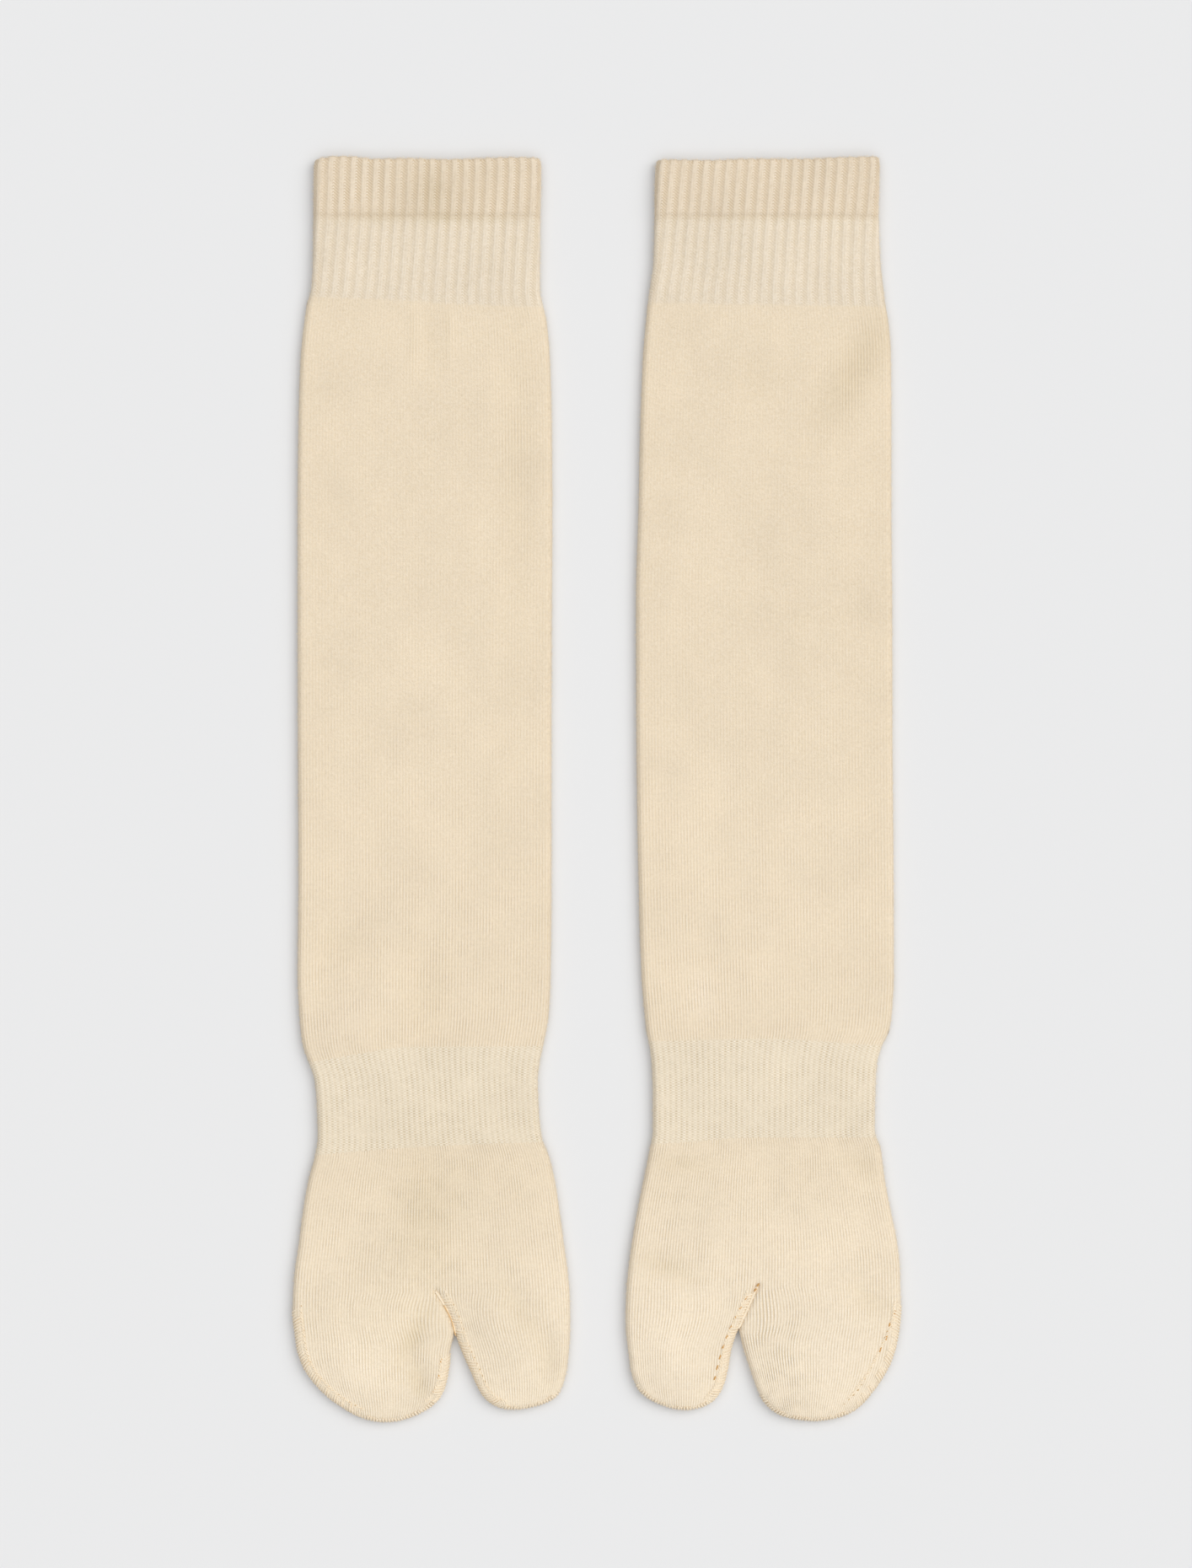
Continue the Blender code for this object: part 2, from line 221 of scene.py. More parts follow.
RIGHT_SOCK = SockPlan(
    node="right_foot_sock",
    slot="right_sock_knit",
    rings=[
        Ring(0.0, -40.3, 42.2, 5.4), Ring(3.0, -40.9, 42.8, 5.8), Ring(20.4, -41.0, 42.5, 5.8),
        Ring(22.3, -41.0, 42.4, 5.2), Ring(24.2, -41.1, 42.5, 5.2), Ring(38.0, -41.4, 42.5, 5.2),
        Ring(49.0, -42.0, 42.5, 5.0), Ring(54.0, -43.4, 43.4, 4.6), Ring(61.0, -44.4, 44.8, 4.4),
        Ring(74.0, -45.7, 45.9, 4.4), Ring(98.0, -46.5, 46.6, 4.4), Ring(130.0, -46.8, 46.8, 4.4),
        Ring(175.0, -46.8, 46.6, 4.4), Ring(220.0, -46.7, 46.5, 4.4), Ring(264.0, -46.5, 46.5, 4.4),
        Ring(300.0, -46.8, 46.2, 4.4), Ring(315.0, -46.2, 45.5, 4.4), Ring(326.0, -45.0, 43.6, 4.5),
        Ring(333.0, -42.6, 42.1, 4.7), Ring(339.0, -40.6, 41.5, 4.8), Ring(351.0, -39.6, 41.9, 4.8),
        Ring(360.5, -39.4, 43.0, 4.8), Ring(367.0, -40.4, 45.5, 4.6), Ring(376.0, -42.8, 47.7, 4.5),
        Ring(388.5, -45.0, 49.6, 4.5), Ring(401.0, -46.6, 51.3, 4.6), Ring(410.0, -47.9, 52.5, 4.7),
        Ring(417.0, -48.4, 53.2, 4.8),
    ],
    slit_top=Spot(4.0, 417.0),
    left_pocket=[
        Spot(-48.6, 424.0), Spot(-47.7, 432.0), Spot(-46.5, 439.5), Spot(-43.4, 446.8),
        Spot(-37.2, 454.2), Spot(-30.7, 459.2), Spot(-22.9, 463.3), Spot(-14.8, 464.8),
        Spot(-6.2, 463.4), Spot(2.0, 459.3), Spot(6.3, 454.0), Spot(8.4, 446.5),
        Spot(9.2, 439.3), Spot(10.1, 435.0), Spot(10.9, 431.5), Spot(9.6, 427.0),
        Spot(7.0, 421.5),
    ],
    right_pocket=[
        Spot(53.4, 430.0), Spot(52.9, 439.3), Spot(51.8, 447.6), Spot(49.5, 453.8),
        Spot(45.6, 457.2), Spot(39.7, 459.3), Spot(33.5, 460.2), Spot(28.8, 459.8),
        Spot(24.2, 457.7), Spot(20.6, 453.8), Spot(16.9, 445.8), Spot(14.0, 439.3),
        Spot(11.3, 431.9), Spot(9.5, 426.7), Spot(6.8, 421.2),
    ],
    left_columns=WIDE_POCKET_COLUMNS,
    right_columns=BIG_TOE_COLUMNS,
    lean=[Lean(0.0, 0.0), Lean(20.0, 0.56), Lean(35.6, 1.5), Lean(48.0, 2.1)],
    mouth_line=[
        Spot(-41.0, 1.0), Spot(-38.8, 0.5), Spot(-32.0, -0.3), Spot(-27.0, -0.2), Spot(-18.0, 0.7),
        Spot(-6.0, 0.4), Spot(6.0, 0.9), Spot(20.0, 0.5), Spot(33.0, 0.1), Spot(42.0, 0.3),
    ],
    cuff_end=[Spot(-42.0, 51.5), Spot(-15.0, 52.6), Spot(12.0, 54.2), Spot(42.0, 55.2)],
    band_start=[Spot(-42.5, 332.6), Spot(-22.3, 329.2), Spot(-8.1, 327.1), Spot(42.0, 326.7)],
    band_end=[Spot(-40.0, 366.7), Spot(-20.0, 364.9), Spot(5.0, 363.3), Spot(44.0, 361.8)],
    folds=[
        Oval(-4.0, 66.0, 14.0, 3.0, 0.35), Oval(9.3, 66.0, 12.0, 3.0, 0.35),
        Oval(-4.3, 434.0, 10.0, 4.0, -1.5, -28.0), Oval(-1.5, 449.5, 8.0, 3.8, -1.4, 25.0),
        Oval(-24.0, 446.0, 17.0, 14.0, 0.8), Oval(46.0, 444.0, 9.0, 4.0, -0.7),
        Oval(2.6, 68.0, 14.0, 4.0, -0.3), Oval(34.0, 108.0, 60.0, 7.0, -0.3),
        Oval(-30.0, 289.0, 12.0, 7.0, -0.7, -35.0), Oval(-27.0, 316.0, 19.0, 7.0, 1.1, -50.0),
        Oval(0.0, 310.0, 18.0, 7.0, -0.4), Oval(37.0, 424.0, 17.0, 5.0, -0.9, 35.0),
        Oval(0.0, 389.0, 22.0, 9.0, -0.3),
    ],
    # Painted shade along the folds, creases and the welt's groove; below nought, painted light on the raised
    # folds.
    painted_fold_shading=[
        Oval(0.0, 22.3, 2.2, 60.0, 0.3), Oval(-17.0, 22.0, 2.4, 13.0, 0.6, 2.0),
        Oval(8.0, 22.6, 2.2, 8.0, 0.7), Oval(26.0, 22.6, 1.8, 7.0, 0.5),
        Oval(2.0, 12.0, 11.0, 14.0, 0.55), Oval(3.5, 13.0, 8.0, 4.0, 0.55),
        Oval(22.0, 10.0, 9.0, 6.0, 0.3), Oval(2.6, 66.0, 13.0, 3.6, 0.25),
        Oval(-4.6, 64.0, 11.0, 1.2, 0.35), Oval(8.2, 64.0, 10.0, 1.2, 0.35),
        Oval(34.5, 110.0, 55.0, 6.0, 0.3), Oval(-31.0, 289.0, 7.0, 9.0, 0.4),
        Oval(-27.5, 316.0, 17.0, 8.0, -0.3, -50.0), Oval(0.5, 309.0, 18.0, 8.0, 0.4),
        Oval(0.5, 391.0, 26.0, 11.0, 0.6), Oval(12.0, 400.0, 55.0, 45.0, 0.3),
        Oval(-20.0, 424.0, 30.0, 32.0, 0.3), Oval(-23.0, 446.0, 12.0, 12.0, -0.25),
        Oval(-4.6, 434.0, 10.0, 3.2, 0.9, -28.0), Oval(-2.5, 449.5, 7.0, 3.4, 0.9, 20.0),
        Oval(36.0, 426.0, 16.0, 5.0, 0.45, 35.0), Oval(46.0, 444.0, 8.0, 4.5, 0.45),
    ],
    crisp=[
        Oval(-4.0, 66.0, 12.0, 2.2, 0.3), Oval(9.3, 66.0, 10.0, 2.0, 0.3),
        Oval(33.0, 100.0, 50.0, 9.0, 0.25), Oval(0.0, 300.0, 40.0, 30.0, 0.12),
        Oval(2.0, 390.0, 26.0, 18.0, 0.15), Oval(-2.0, 438.0, 16.0, 8.0, 0.2, 10.0),
    ],
)

LEFT_SOCK = SockPlan(
    node="left_foot_sock",
    slot="left_sock_knit",
    rings=[
        Ring(0.0, -39.7, 41.9, 5.4), Ring(3.0, -40.3, 42.2, 5.8), Ring(20.4, -40.7, 41.9, 5.8),
        Ring(22.3, -40.7, 41.9, 5.2), Ring(24.2, -40.8, 42.0, 5.2), Ring(38.0, -41.1, 42.6, 5.2),
        Ring(48.0, -42.3, 43.5, 5.0), Ring(54.0, -43.1, 44.3, 4.6), Ring(61.0, -43.8, 45.4, 4.4),
        Ring(72.0, -44.7, 46.3, 4.4), Ring(98.0, -45.8, 46.5, 4.4), Ring(130.0, -46.5, 46.5, 4.4),
        Ring(165.0, -47.4, 46.8, 4.4), Ring(215.0, -47.2, 46.9, 4.4), Ring(264.0, -46.5, 47.3, 4.4),
        Ring(300.0, -45.4, 47.4, 4.4), Ring(314.0, -44.3, 46.7, 4.4), Ring(321.0, -43.6, 45.7, 4.5),
        Ring(327.0, -42.4, 42.9, 4.7), Ring(334.0, -41.6, 41.1, 4.8), Ring(346.0, -41.2, 40.6, 4.8),
        Ring(358.0, -41.2, 40.4, 4.8), Ring(364.0, -42.2, 42.4, 4.6), Ring(376.0, -44.6, 44.1, 4.5),
        Ring(388.5, -47.1, 46.5, 4.5), Ring(399.0, -48.9, 48.6, 4.6), Ring(408.0, -50.1, 49.6, 4.7),
        Ring(414.8, -50.8, 49.8, 4.8),
    ],
    slit_top=Spot(-2.8, 414.8),
    left_pocket=[
        Spot(-51.2, 424.0), Spot(-51.0, 432.0), Spot(-50.2, 439.3), Spot(-49.2, 446.5),
        Spot(-47.2, 451.7), Spot(-44.2, 455.2), Spot(-39.4, 458.0), Spot(-34.0, 459.8),
        Spot(-29.4, 460.4), Spot(-24.8, 459.8), Spot(-20.2, 457.8), Spot(-16.8, 454.0),
        Spot(-14.8, 449.2), Spot(-13.6, 443.6), Spot(-12.5, 437.5), Spot(-10.8, 432.4),
        Spot(-9.5, 429.9), Spot(-6.1, 422.3),
    ],
    right_pocket=[
        Spot(49.9, 422.0), Spot(49.3, 430.0), Spot(48.1, 436.8), Spot(45.6, 444.2),
        Spot(40.9, 451.9), Spot(35.0, 458.8), Spot(28.6, 462.6), Spot(18.6, 464.4),
        Spot(7.4, 462.9), Spot(1.2, 459.1), Spot(-2.2, 454.2), Spot(-4.2, 449.2),
        Spot(-6.2, 443.4), Spot(-8.0, 437.7), Spot(-8.9, 434.0), Spot(-9.4, 430.1),
        Spot(-6.2, 422.5),
    ],
    left_columns=BIG_TOE_COLUMNS,
    right_columns=WIDE_POCKET_COLUMNS,
    lean=[Lean(0.0, 0.0), Lean(20.0, 1.1), Lean(29.0, 2.0), Lean(35.6, 2.45), Lean(48.0, 3.2)],
    mouth_line=[
        Spot(-40.5, 1.1), Spot(-37.0, 0.9), Spot(-20.0, 1.2), Spot(-4.0, 0.6), Spot(14.0, 0.7),
        Spot(28.0, 0.1), Spot(41.0, -0.2),
    ],
    cuff_end=[Spot(-42.0, 53.6), Spot(0.0, 54.4), Spot(42.0, 54.9)],
    band_start=[Spot(-42.0, 324.9), Spot(0.0, 324.0), Spot(42.0, 326.4)],
    band_end=[Spot(-41.0, 362.7), Spot(0.0, 360.2), Spot(41.0, 360.2)],
    folds=[
        Oval(-34.7, 442.0, 15.0, 10.0, 0.7), Oval(24.0, 442.0, 19.0, 15.0, 0.8),
        Oval(-30.0, 370.0, 11.0, 3.5, -0.3, 85.0), Oval(36.6, 371.0, 8.0, 4.0, -0.3, 60.0),
        Oval(33.0, 77.0, 24.0, 7.0, -0.5, -35.0), Oval(-3.0, 84.0, 10.0, 7.0, -0.3),
        Oval(12.0, 168.0, 34.0, 5.0, -0.35, 90.0), Oval(-30.0, 240.0, 40.0, 9.0, 0.3),
        Oval(-8.0, 300.0, 22.0, 9.0, 0.4, 20.0), Oval(-36.0, 407.0, 11.0, 4.5, -0.8, 70.0),
        Oval(38.0, 419.0, 12.0, 5.0, -0.8, 50.0),
    ],
    # Painted shade along the folds and creases; below nought, painted light on the raised folds.
    painted_fold_shading=[
        Oval(0.0, 22.3, 1.5, 60.0, 0.5), Oval(33.5, 78.0, 24.0, 8.0, 0.9, -30.0),
        Oval(-3.7, 83.0, 9.0, 8.0, 0.35), Oval(12.0, 168.0, 34.0, 4.0, 0.15, 90.0),
        Oval(-34.7, 442.0, 13.0, 10.0, -0.2), Oval(24.0, 440.0, 18.0, 14.0, -0.25),
        Oval(-36.0, 408.0, 10.0, 4.0, 0.7, 70.0), Oval(38.0, 420.0, 10.0, 5.0, 0.6, 50.0),
        Oval(-30.0, 370.0, 11.0, 3.5, 0.5, 85.0), Oval(36.6, 371.0, 8.0, 4.0, 0.5, 60.0),
        Oval(-23.0, 308.0, 7.0, 5.0, -0.5),
    ],
    crisp=[
        Oval(33.5, 78.0, 24.0, 10.0, 0.4, -25.0), Oval(3.0, 438.0, 24.0, 9.0, 0.55, 14.0),
        Oval(-20.0, 300.0, 30.0, 20.0, 0.1), Oval(-36.0, 395.0, 30.0, 12.0, 0.12),
    ],
)


def ease(value: np.ndarray) -> np.ndarray:
    """A smooth step from 0 to 1 as value goes from 0 to 1."""
    value = np.clip(value, 0.0, 1.0)
    return value * value * (3.0 - 2.0 * value)


def smooth_between(places: np.ndarray, knots: np.ndarray, values: np.ndarray) -> np.ndarray:
    """Read a table smoothly, with no overshoot between its rows.

    Args:
        places: where to read it.
        knots: the rows' places, rising.
        values: the rows' values.

    Returns:
        The values at the places, held level past both ends.
    """
    gap = np.diff(knots)
    slope = np.diff(values) / gap
    before, after = slope[:-1], slope[1:]
    weight_before = 2 * gap[1:] + gap[:-1]
    weight_after = gap[1:] + 2 * gap[:-1]
    same_way = before * after > 0
    safe_before = np.where(same_way, before, 1.0)
    safe_after = np.where(same_way, after, 1.0)
    mean = (weight_before + weight_after) / (weight_before / safe_before + weight_after / safe_after)
    tangent = np.concatenate([slope[:1], np.where(same_way, mean, 0.0), slope[-1:]])
    index = np.clip(np.searchsorted(knots, places, side="right") - 1, 0, len(gap) - 1)
    t = np.clip((places - knots[index]) / gap[index], 0.0, 1.0)
    rise = ease(t)
    leaving = t * (1 - t) ** 2 * gap[index] * tangent[index]
    arriving = t * t * (t - 1) * gap[index] * tangent[index + 1]
    return values[index] + (values[index + 1] - values[index]) * rise + leaving + arriving


def smooth_curve(spots: list[Spot]) -> np.ndarray:
    """A curve through the spots, as an array of points (Catmull-Rom)."""
    knots = np.array([spots[0], *spots, spots[-1]], float)
    points = []
    for before, start, end, after in zip(knots, knots[1:], knots[2:], knots[3:]):
        for step in range(CURVE_STEPS):
            t = step / CURVE_STEPS
            points.append(
                start
                + 0.5 * t * (end - before)
                + t * t * (before - 2.5 * start + 2.0 * end - 0.5 * after)
                + t**3 * (1.5 * (start - end) + 0.5 * (after - before))
            )
    points.append(knots[-1])
    return np.array(points)


def lengths_along(curve: np.ndarray) -> np.ndarray:
    """Distance from the start of the curve to each of its points."""
    steps = np.linalg.norm(np.diff(curve, axis=0), axis=1)
    return np.concatenate([[0.0], np.cumsum(steps)])


def points_along(curve: np.ndarray, fractions: np.ndarray) -> np.ndarray:
    """Points at these fractions of the curve's length."""
    along = lengths_along(curve)
    wanted = np.asarray(fractions) * along[-1]
    return np.stack([np.interp(wanted, along, curve[:, axis]) for axis in range(2)], axis=1)


def moved_inwards(curve: np.ndarray, distance: float, side: int) -> np.ndarray:
    """The curve moved sideways; side is 1 or -1, whichever points into the pocket."""
    tangent = np.gradient(curve, axis=0)
    tangent /= np.linalg.norm(tangent, axis=1, keepdims=True)
    normal = np.stack([tangent[:, 1], -tangent[:, 0]], axis=1)
    return curve + side * distance * normal


def split_at_tip(curve: np.ndarray) -> tuple[np.ndarray, np.ndarray, np.ndarray]:
    """The curve in three, outer side, tip and slit side, parted where it turns past 45 degrees."""
    step = np.abs(np.diff(curve, axis=0))
    across_more = step[:, 0] > step[:, 1]
    candidates = np.flatnonzero(across_more)
    first = last = candidates[len(candidates) // 2]
    while across_more[first - 1]:
        first -= 1
    while across_more[last + 1]:
        last += 1
    return curve[: first + 1], curve[first : last + 2], curve[last + 1 :]


def turn_insets(radius: float) -> np.ndarray:
    """How far in from the edge the steps lie that carry the cloth round it, down to a quarter turn."""
    return radius * (1.0 - np.cos(np.linspace(0.0, math.pi / 2, TURN_STEPS + 1)))


def stations(count: int, length: float, radius: float, far_turn: float) -> np.ndarray:
    """Fractions along a length, close together where the cloth turns over.

    Args:
        count: the number of steps.
        length: the length that they share.
        radius: the radius that the cloth turns over at the near end.
        far_turn: how far the other end turns over too, from 0 to 1.

    Returns:
        count + 1 fractions from 0 to 1.
    """
    turn = turn_insets(radius) / length
    carried_on = np.concatenate([turn[:-1], np.linspace(turn[-1], 1.0, count - TURN_STEPS + 1)])
    middle = np.linspace(turn[-1], 1.0 - turn[-1], count - 2 * TURN_STEPS + 1)
    turned = np.concatenate([turn[:-1], middle, 1.0 - turn[-2::-1]])
    return carried_on + (turned - carried_on) * far_turn


def distance_to(outline: np.ndarray, points: np.ndarray) -> np.ndarray:
    """Distance in plan from each point to the outline."""
    start = outline[:-1]
    step = outline[1:] - start
    size = np.maximum((step**2).sum(axis=1), 1e-12)
    flat = points.reshape(-1, 2)
    nearest = []
    for part in np.array_split(flat, len(flat) // POINTS_AT_ONCE + 1):
        offset = part[:, None, :] - start
        t = np.clip((offset * step).sum(axis=-1) / size, 0.0, 1.0)
        nearest.append(np.linalg.norm(offset - t[..., None] * step, axis=-1).min(axis=-1))
    return np.concatenate(nearest).reshape(points.shape[:-1])


def soft_spots(points: np.ndarray, spots: list[Oval]) -> np.ndarray:
    """Add up soft ovals: each one's amount at its middle, fading to nothing round it."""
    total = np.zeros(points.shape[:-1])
    for across, from_mouth, half_length, half_width, amount, degrees in spots:
        turn = math.radians(degrees)
        x = points[..., 0] - across
        y = from_mouth - points[..., 1]
        along = (y * math.cos(turn) - x * math.sin(turn)) / half_length
        beside = (x * math.cos(turn) + y * math.sin(turn)) / half_width
        total += amount * np.exp(-(along**2) - beside**2)
    return total


@dataclass
class Patch:
    """A grid of points in plan, in rows down the sock, with the stitch column of each."""

    points: np.ndarray
    wale: np.ndarray
    on_outline: np.ndarray


@dataclass
class ClothDraft:
    """Points and faces as they are added, in millimetres, with what the finishes read from them."""

    places: list[np.ndarray] = field(default_factory=list)
    wales: list[np.ndarray] = field(default_factory=list)
    unders: list[np.ndarray] = field(default_factory=list)
    plans: list[np.ndarray] = field(default_factory=list)
    outer: list[np.ndarray] = field(default_factory=list)
    faces: list[np.ndarray] = field(default_factory=list)
    sides: list[np.ndarray] = field(default_factory=list)
    count: int = 0

    def add_points(
        self, places: np.ndarray, wale: np.ndarray, under: np.ndarray, plan: np.ndarray, outer: float
    ) -> np.ndarray:
        """Add points.

        Args:
            places: where they are.
            wale: the stitch column of each.
            under: the column that a face of the lower layer reads there.
            plan: their places in the sock's plan.
            outer: 1 on the outside of the cloth and 0 on the inside.

        Returns:
            Their numbers, in the same rows and columns.
        """
        shape = wale.shape
        number = np.arange(wale.size).reshape(shape) + self.count
        self.count += wale.size
        self.places.append(places.reshape(-1, 3))
        self.wales.append(wale.ravel())
        self.unders.append(under.ravel())
        self.plans.append(plan.reshape(-1, 2))
        self.outer.append(np.full(wale.size, outer))
        return number

    def add_quads(self, number: np.ndarray, flip: bool, side: int) -> None:
        """Add a face between each four neighbours of a grid of point numbers."""
        corners = [number[:-1, :-1], number[:-1, 1:], number[1:, 1:], number[1:, :-1]]
        if flip:
            corners = corners[::-1]
        quads = np.stack([corner.ravel() for corner in corners], axis=1)
        self.add_faces(quads, side)

    def add_faces(self, faces: np.ndarray, side: int) -> None:
        """Add faces of three or four points; side is 1 on the upper layer and -1 on the lower one."""
        self.faces.append(faces)
        self.sides.append(np.full(len(faces), side))


class SockShape:
    """The shape of one flattened sock: where its outline runs and how high its cloth lies."""

    def __init__(self, plan: SockPlan) -> None:
        """Read the plan's tables once."""
        self.plan = plan
        self.table = np.array(plan.rings)
        self.outline_out = self.outline(0.0)

    def ring(self, from_mouth: np.ndarray | float) -> tuple[np.ndarray, np.ndarray, np.ndarray]:
        """Left edge, right edge and height of the flattened tube at these places."""
        place = np.asarray(from_mouth, float)
        columns = [smooth_between(place, self.table[:, 0], self.table[:, column]) for column in (1, 2, 3)]
        return columns[0], columns[1], columns[2]

    def wall(self, from_mouth: np.ndarray | float) -> np.ndarray:
        """Thickness of the cloth: the welt is turned over and doubled."""
        return WELT_WALL + (KNIT_WALL - WELT_WALL) * ease((np.asarray(from_mouth) - WELT_DEPTH + 2.0) / 2.0)

    def pocket_outline(self, pocket: Pocket, inset: float) -> np.ndarray:
        """A pocket's outline from its outer side round the tip to the slit, moved in by inset."""
        slit = self.plan.slit_top
        left, right, _ = self.ring(slit.from_mouth)
        sides = {Pocket.LEFT: (left, self.plan.left_pocket), Pocket.RIGHT: (right, self.plan.right_pocket)}
        outer, spots = float(sides[pocket][0]), sides[pocket][1]
        curve = smooth_curve([Spot(outer, slit.from_mouth), *spots, slit])
        curve = moved_inwards(curve, inset, pocket.value)
        curve[0] = [outer + pocket.value * inset, slit.from_mouth - inset]
        curve[-1] = [slit.across, slit.from_mouth - inset]
        return curve

    def outline(self, inset: float) -> np.ndarray:
        """The whole outline but the mouth, moved in by inset: down the left side and up the right."""
        end = self.plan.slit_top.from_mouth - inset
        fine = np.linspace(0.0, FINE_NEAR_MOUTH, FINE_STATIONS, endpoint=False)
        down = np.concatenate([fine, np.linspace(FINE_NEAR_MOUTH, end, SIDE_STATIONS)])
        left, right, _ = self.ring(down)
        left_side = np.stack([left + inset, down], axis=1)
        right_side = np.stack([right - inset, down], axis=1)
        pockets = [self.pocket_outline(pocket, inset) for pocket in (Pocket.LEFT, Pocket.RIGHT)]
        return np.concatenate([left_side, pockets[0], pockets[1][::-1], right_side[::-1]])

    def lift(self, points: np.ndarray, from_edge: np.ndarray) -> np.ndarray:
        """How much the toes' puff, the folds and the cloth's slight waves raise the upper layer."""
        down = points[..., 1]
        puff = TOE_PUFF * ease(from_edge / TOE_PUFF_REACH)
        puff = puff * ease((down - TOE_PUFF_START) / (TOE_PUFF_FULL - TOE_PUFF_START))
        folds = soft_spots(points, self.plan.folds) + self.waves(points)
        return puff + folds * ease((from_edge - 1.0) / FOLD_EDGE)

    def waves(self, points: np.ndarray) -> np.ndarray:
        """Slight long waves of the relaxed cloth, a sum of a few slanting ripples."""
        x = points[..., 0] + self.plan.slit_top.across * 9.0
        y = points[..., 1]
        total = np.zeros(x.shape)
        for length, angle, height in WAVES:
            turn = math.radians(angle)
            total += height * np.sin((x * math.cos(turn) + y * math.sin(turn)) * 2 * math.pi / length + angle)
        return total

    def heights(self, points: np.ndarray, inside: bool) -> tuple[np.ndarray, np.ndarray]:
        """Heights of the upper and the lower layer of the outside or the inside of the cloth."""
        wall = self.wall(points[..., 1]) if inside else np.zeros(points.shape[:-1])
        _, _, thick = self.ring(points[..., 1])
        radius = thick / 2 - wall
        from_edge = distance_to(self.outline_out, points)
        edge = np.maximum(from_edge - wall, 0.0)
        bulge = radius * np.sqrt(1.0 - (1.0 - np.minimum(edge / radius, 1.0)) ** 2)
        lift = self.lift(points, from_edge) * ease(edge / radius)
        return thick / 2 + bulge + lift, thick / 2 - bulge

    def upper(self, points: np.ndarray) -> tuple[np.ndarray, np.ndarray]:
        """Height of the upper face at these points in plan, and the way it faces."""
        reach = 0.2
        height = self.heights(points, False)[0]
        slope_x = (self.heights(points + [reach, 0.0], False)[0] - height) / reach
        slope_y = (self.heights(points - [0.0, reach], False)[0] - height) / reach
        facing = np.stack([-slope_x, -slope_y, np.ones_like(height)], axis=-1)
        return height, facing / np.linalg.norm(facing, axis=-1, keepdims=True)

    def tube_rows(self, slit_row: float, radius: float) -> np.ndarray:
        """Places of the tube's rows, closer where it changes, and closest above the slit."""
        places = []
        place = ROW_STEPS[0].from_mouth
        near_slit = slit_row - turn_insets(radius)[::-1]
        while place < near_slit[0] - LEAST_ROW:
            places.append(place)
            place += [row.step for row in ROW_STEPS if row.from_mouth <= place + ROUNDING][-1]
        return np.concatenate([places, near_slit])

    def tube_patch(self, rows: np.ndarray, slit_row: float, inside: bool) -> Patch:
        """The grid of the tube, from the mouth to the top of the slit."""
        plan = self.plan
        slit_left, slit_right, _ = self.ring(plan.slit_top.from_mouth)
        share = (plan.slit_top.across - slit_left) / (slit_right - slit_left)
        points = []
        wales = []
        for row in rows:
            left, right, thick = (float(value) for value in self.ring(row))
            inset = float(self.wall(row)) if inside else 0.0
            middle = left + float(share) * (right - left)
            left += inset
            right -= inset
            radius = thick / 2 - inset
            far_turn = float(ease(1.0 - (slit_row - row) / SLIT_EASE))
            from_left = stations(plan.left_columns, middle - left, radius, far_turn) * (middle - left)
            from_right = stations(plan.right_columns, right - middle, radius, far_turn) * (right - middle)
            whole = right - left + (math.pi - 2.0) * radius
            arc_left = WALES_ACROSS * self.arc(from_left, radius) / whole
            arc_right = WALES_ACROSS * (1.0 - self.arc(from_right, radius) / whole)
            xs = np.concatenate([left + from_left, (right - from_right)[-2::-1]])
            points.append(np.stack([xs, np.full(len(xs), row)], axis=1))
            wales.append(np.concatenate([arc_left, arc_right[-2::-1]]))
        grid = np.array(points)
        on_outline = np.zeros(grid.shape[:2], bool)
        on_outline[:, [0, -1]] = True
        on_outline[-1, plan.left_columns] = True
        return Patch(grid, np.array(wales), on_outline)

    def arc(self, inset: np.ndarray, radius: float) -> np.ndarray:
        """Length of cloth from the side edge to a place this far in, over the turned edge."""
        over_edge = radius * np.arccos(np.clip(1.0 - inset / radius, -1.0, 1.0))
        return np.where(inset < radius, over_edge, radius * math.pi / 2 + inset - radius)

    def pocket_patch(
        self,
        top_row: np.ndarray,
        wales: np.ndarray,
        outline: np.ndarray,
        radius: float,
        rows: int,
        follow: float,
    ) -> Patch:
        """A grid that fills a pocket, as a patch stretched between its four sides.

        Args:
            top_row: the tube's last points over this pocket, from the outer side to the slit.
            wales: their stitch columns, which run on down the pocket.
            outline: the pocket's outline.
            radius: the radius that the cloth turns over at the edge.
            rows: the number of rows down to the tip.
            follow: how straight the stitch columns run into the seam along the slit, which cuts them off.

        Returns:
            The patch; its first row is the tube's last one, and its last row lies on the tip.
        """
        side, tip, slit = split_at_tip(outline)
        down = 1.0 - stations(rows, lengths_along(side)[-1], radius, 0.0)[::-1]
        share = lengths_along(top_row) / lengths_along(top_row)[-1]
        side_points = points_along(side, down)[:, None]
        slit_points = points_along(slit[::-1], down)[:, None]
        tip_points = points_along(tip, share)[None]
        u = share[None, :, None]
        v = down[:, None, None]
        first_row = (1 - u) * top_row[0] + u * top_row[-1]
        last_row = (1 - u) * tip[0] + u * tip[-1]
        between = (1 - u) * side_points + u * slit_points
        grid = between + v * (tip_points - last_row) + (1 - v) * (top_row - first_row)
        on_outline = np.zeros(grid.shape[:2], bool)
        on_outline[:, [0, -1]] = True
        on_outline[-1] = True
        middle = len(wales) // 2
        ahead = np.gradient(wales, top_row[:, 0])[middle]
        straight = wales[middle] + ahead * (grid[..., 0] - top_row[middle, 0])
        below = grid[..., 1] - top_row[0, 1]
        inside = ease(share / STRAIGHT_SHARE) * ease((1.0 - share) / STRAIGHT_SHARE)
        bent = 1.0 - (1.0 - ease(below / WALE_BEND)) * inside
        moved = slit_points[:, 0, 0] - top_row[-1, 0]
        cut_off = np.maximum.accumulate(np.abs(moved) * (moved * moved[1] > 0))
        cut = ahead * follow * np.sign(moved[1]) * cut_off
        return Patch(grid, straight + (wales - straight) * bent + cut[:, None] * share**1.5, on_outline)


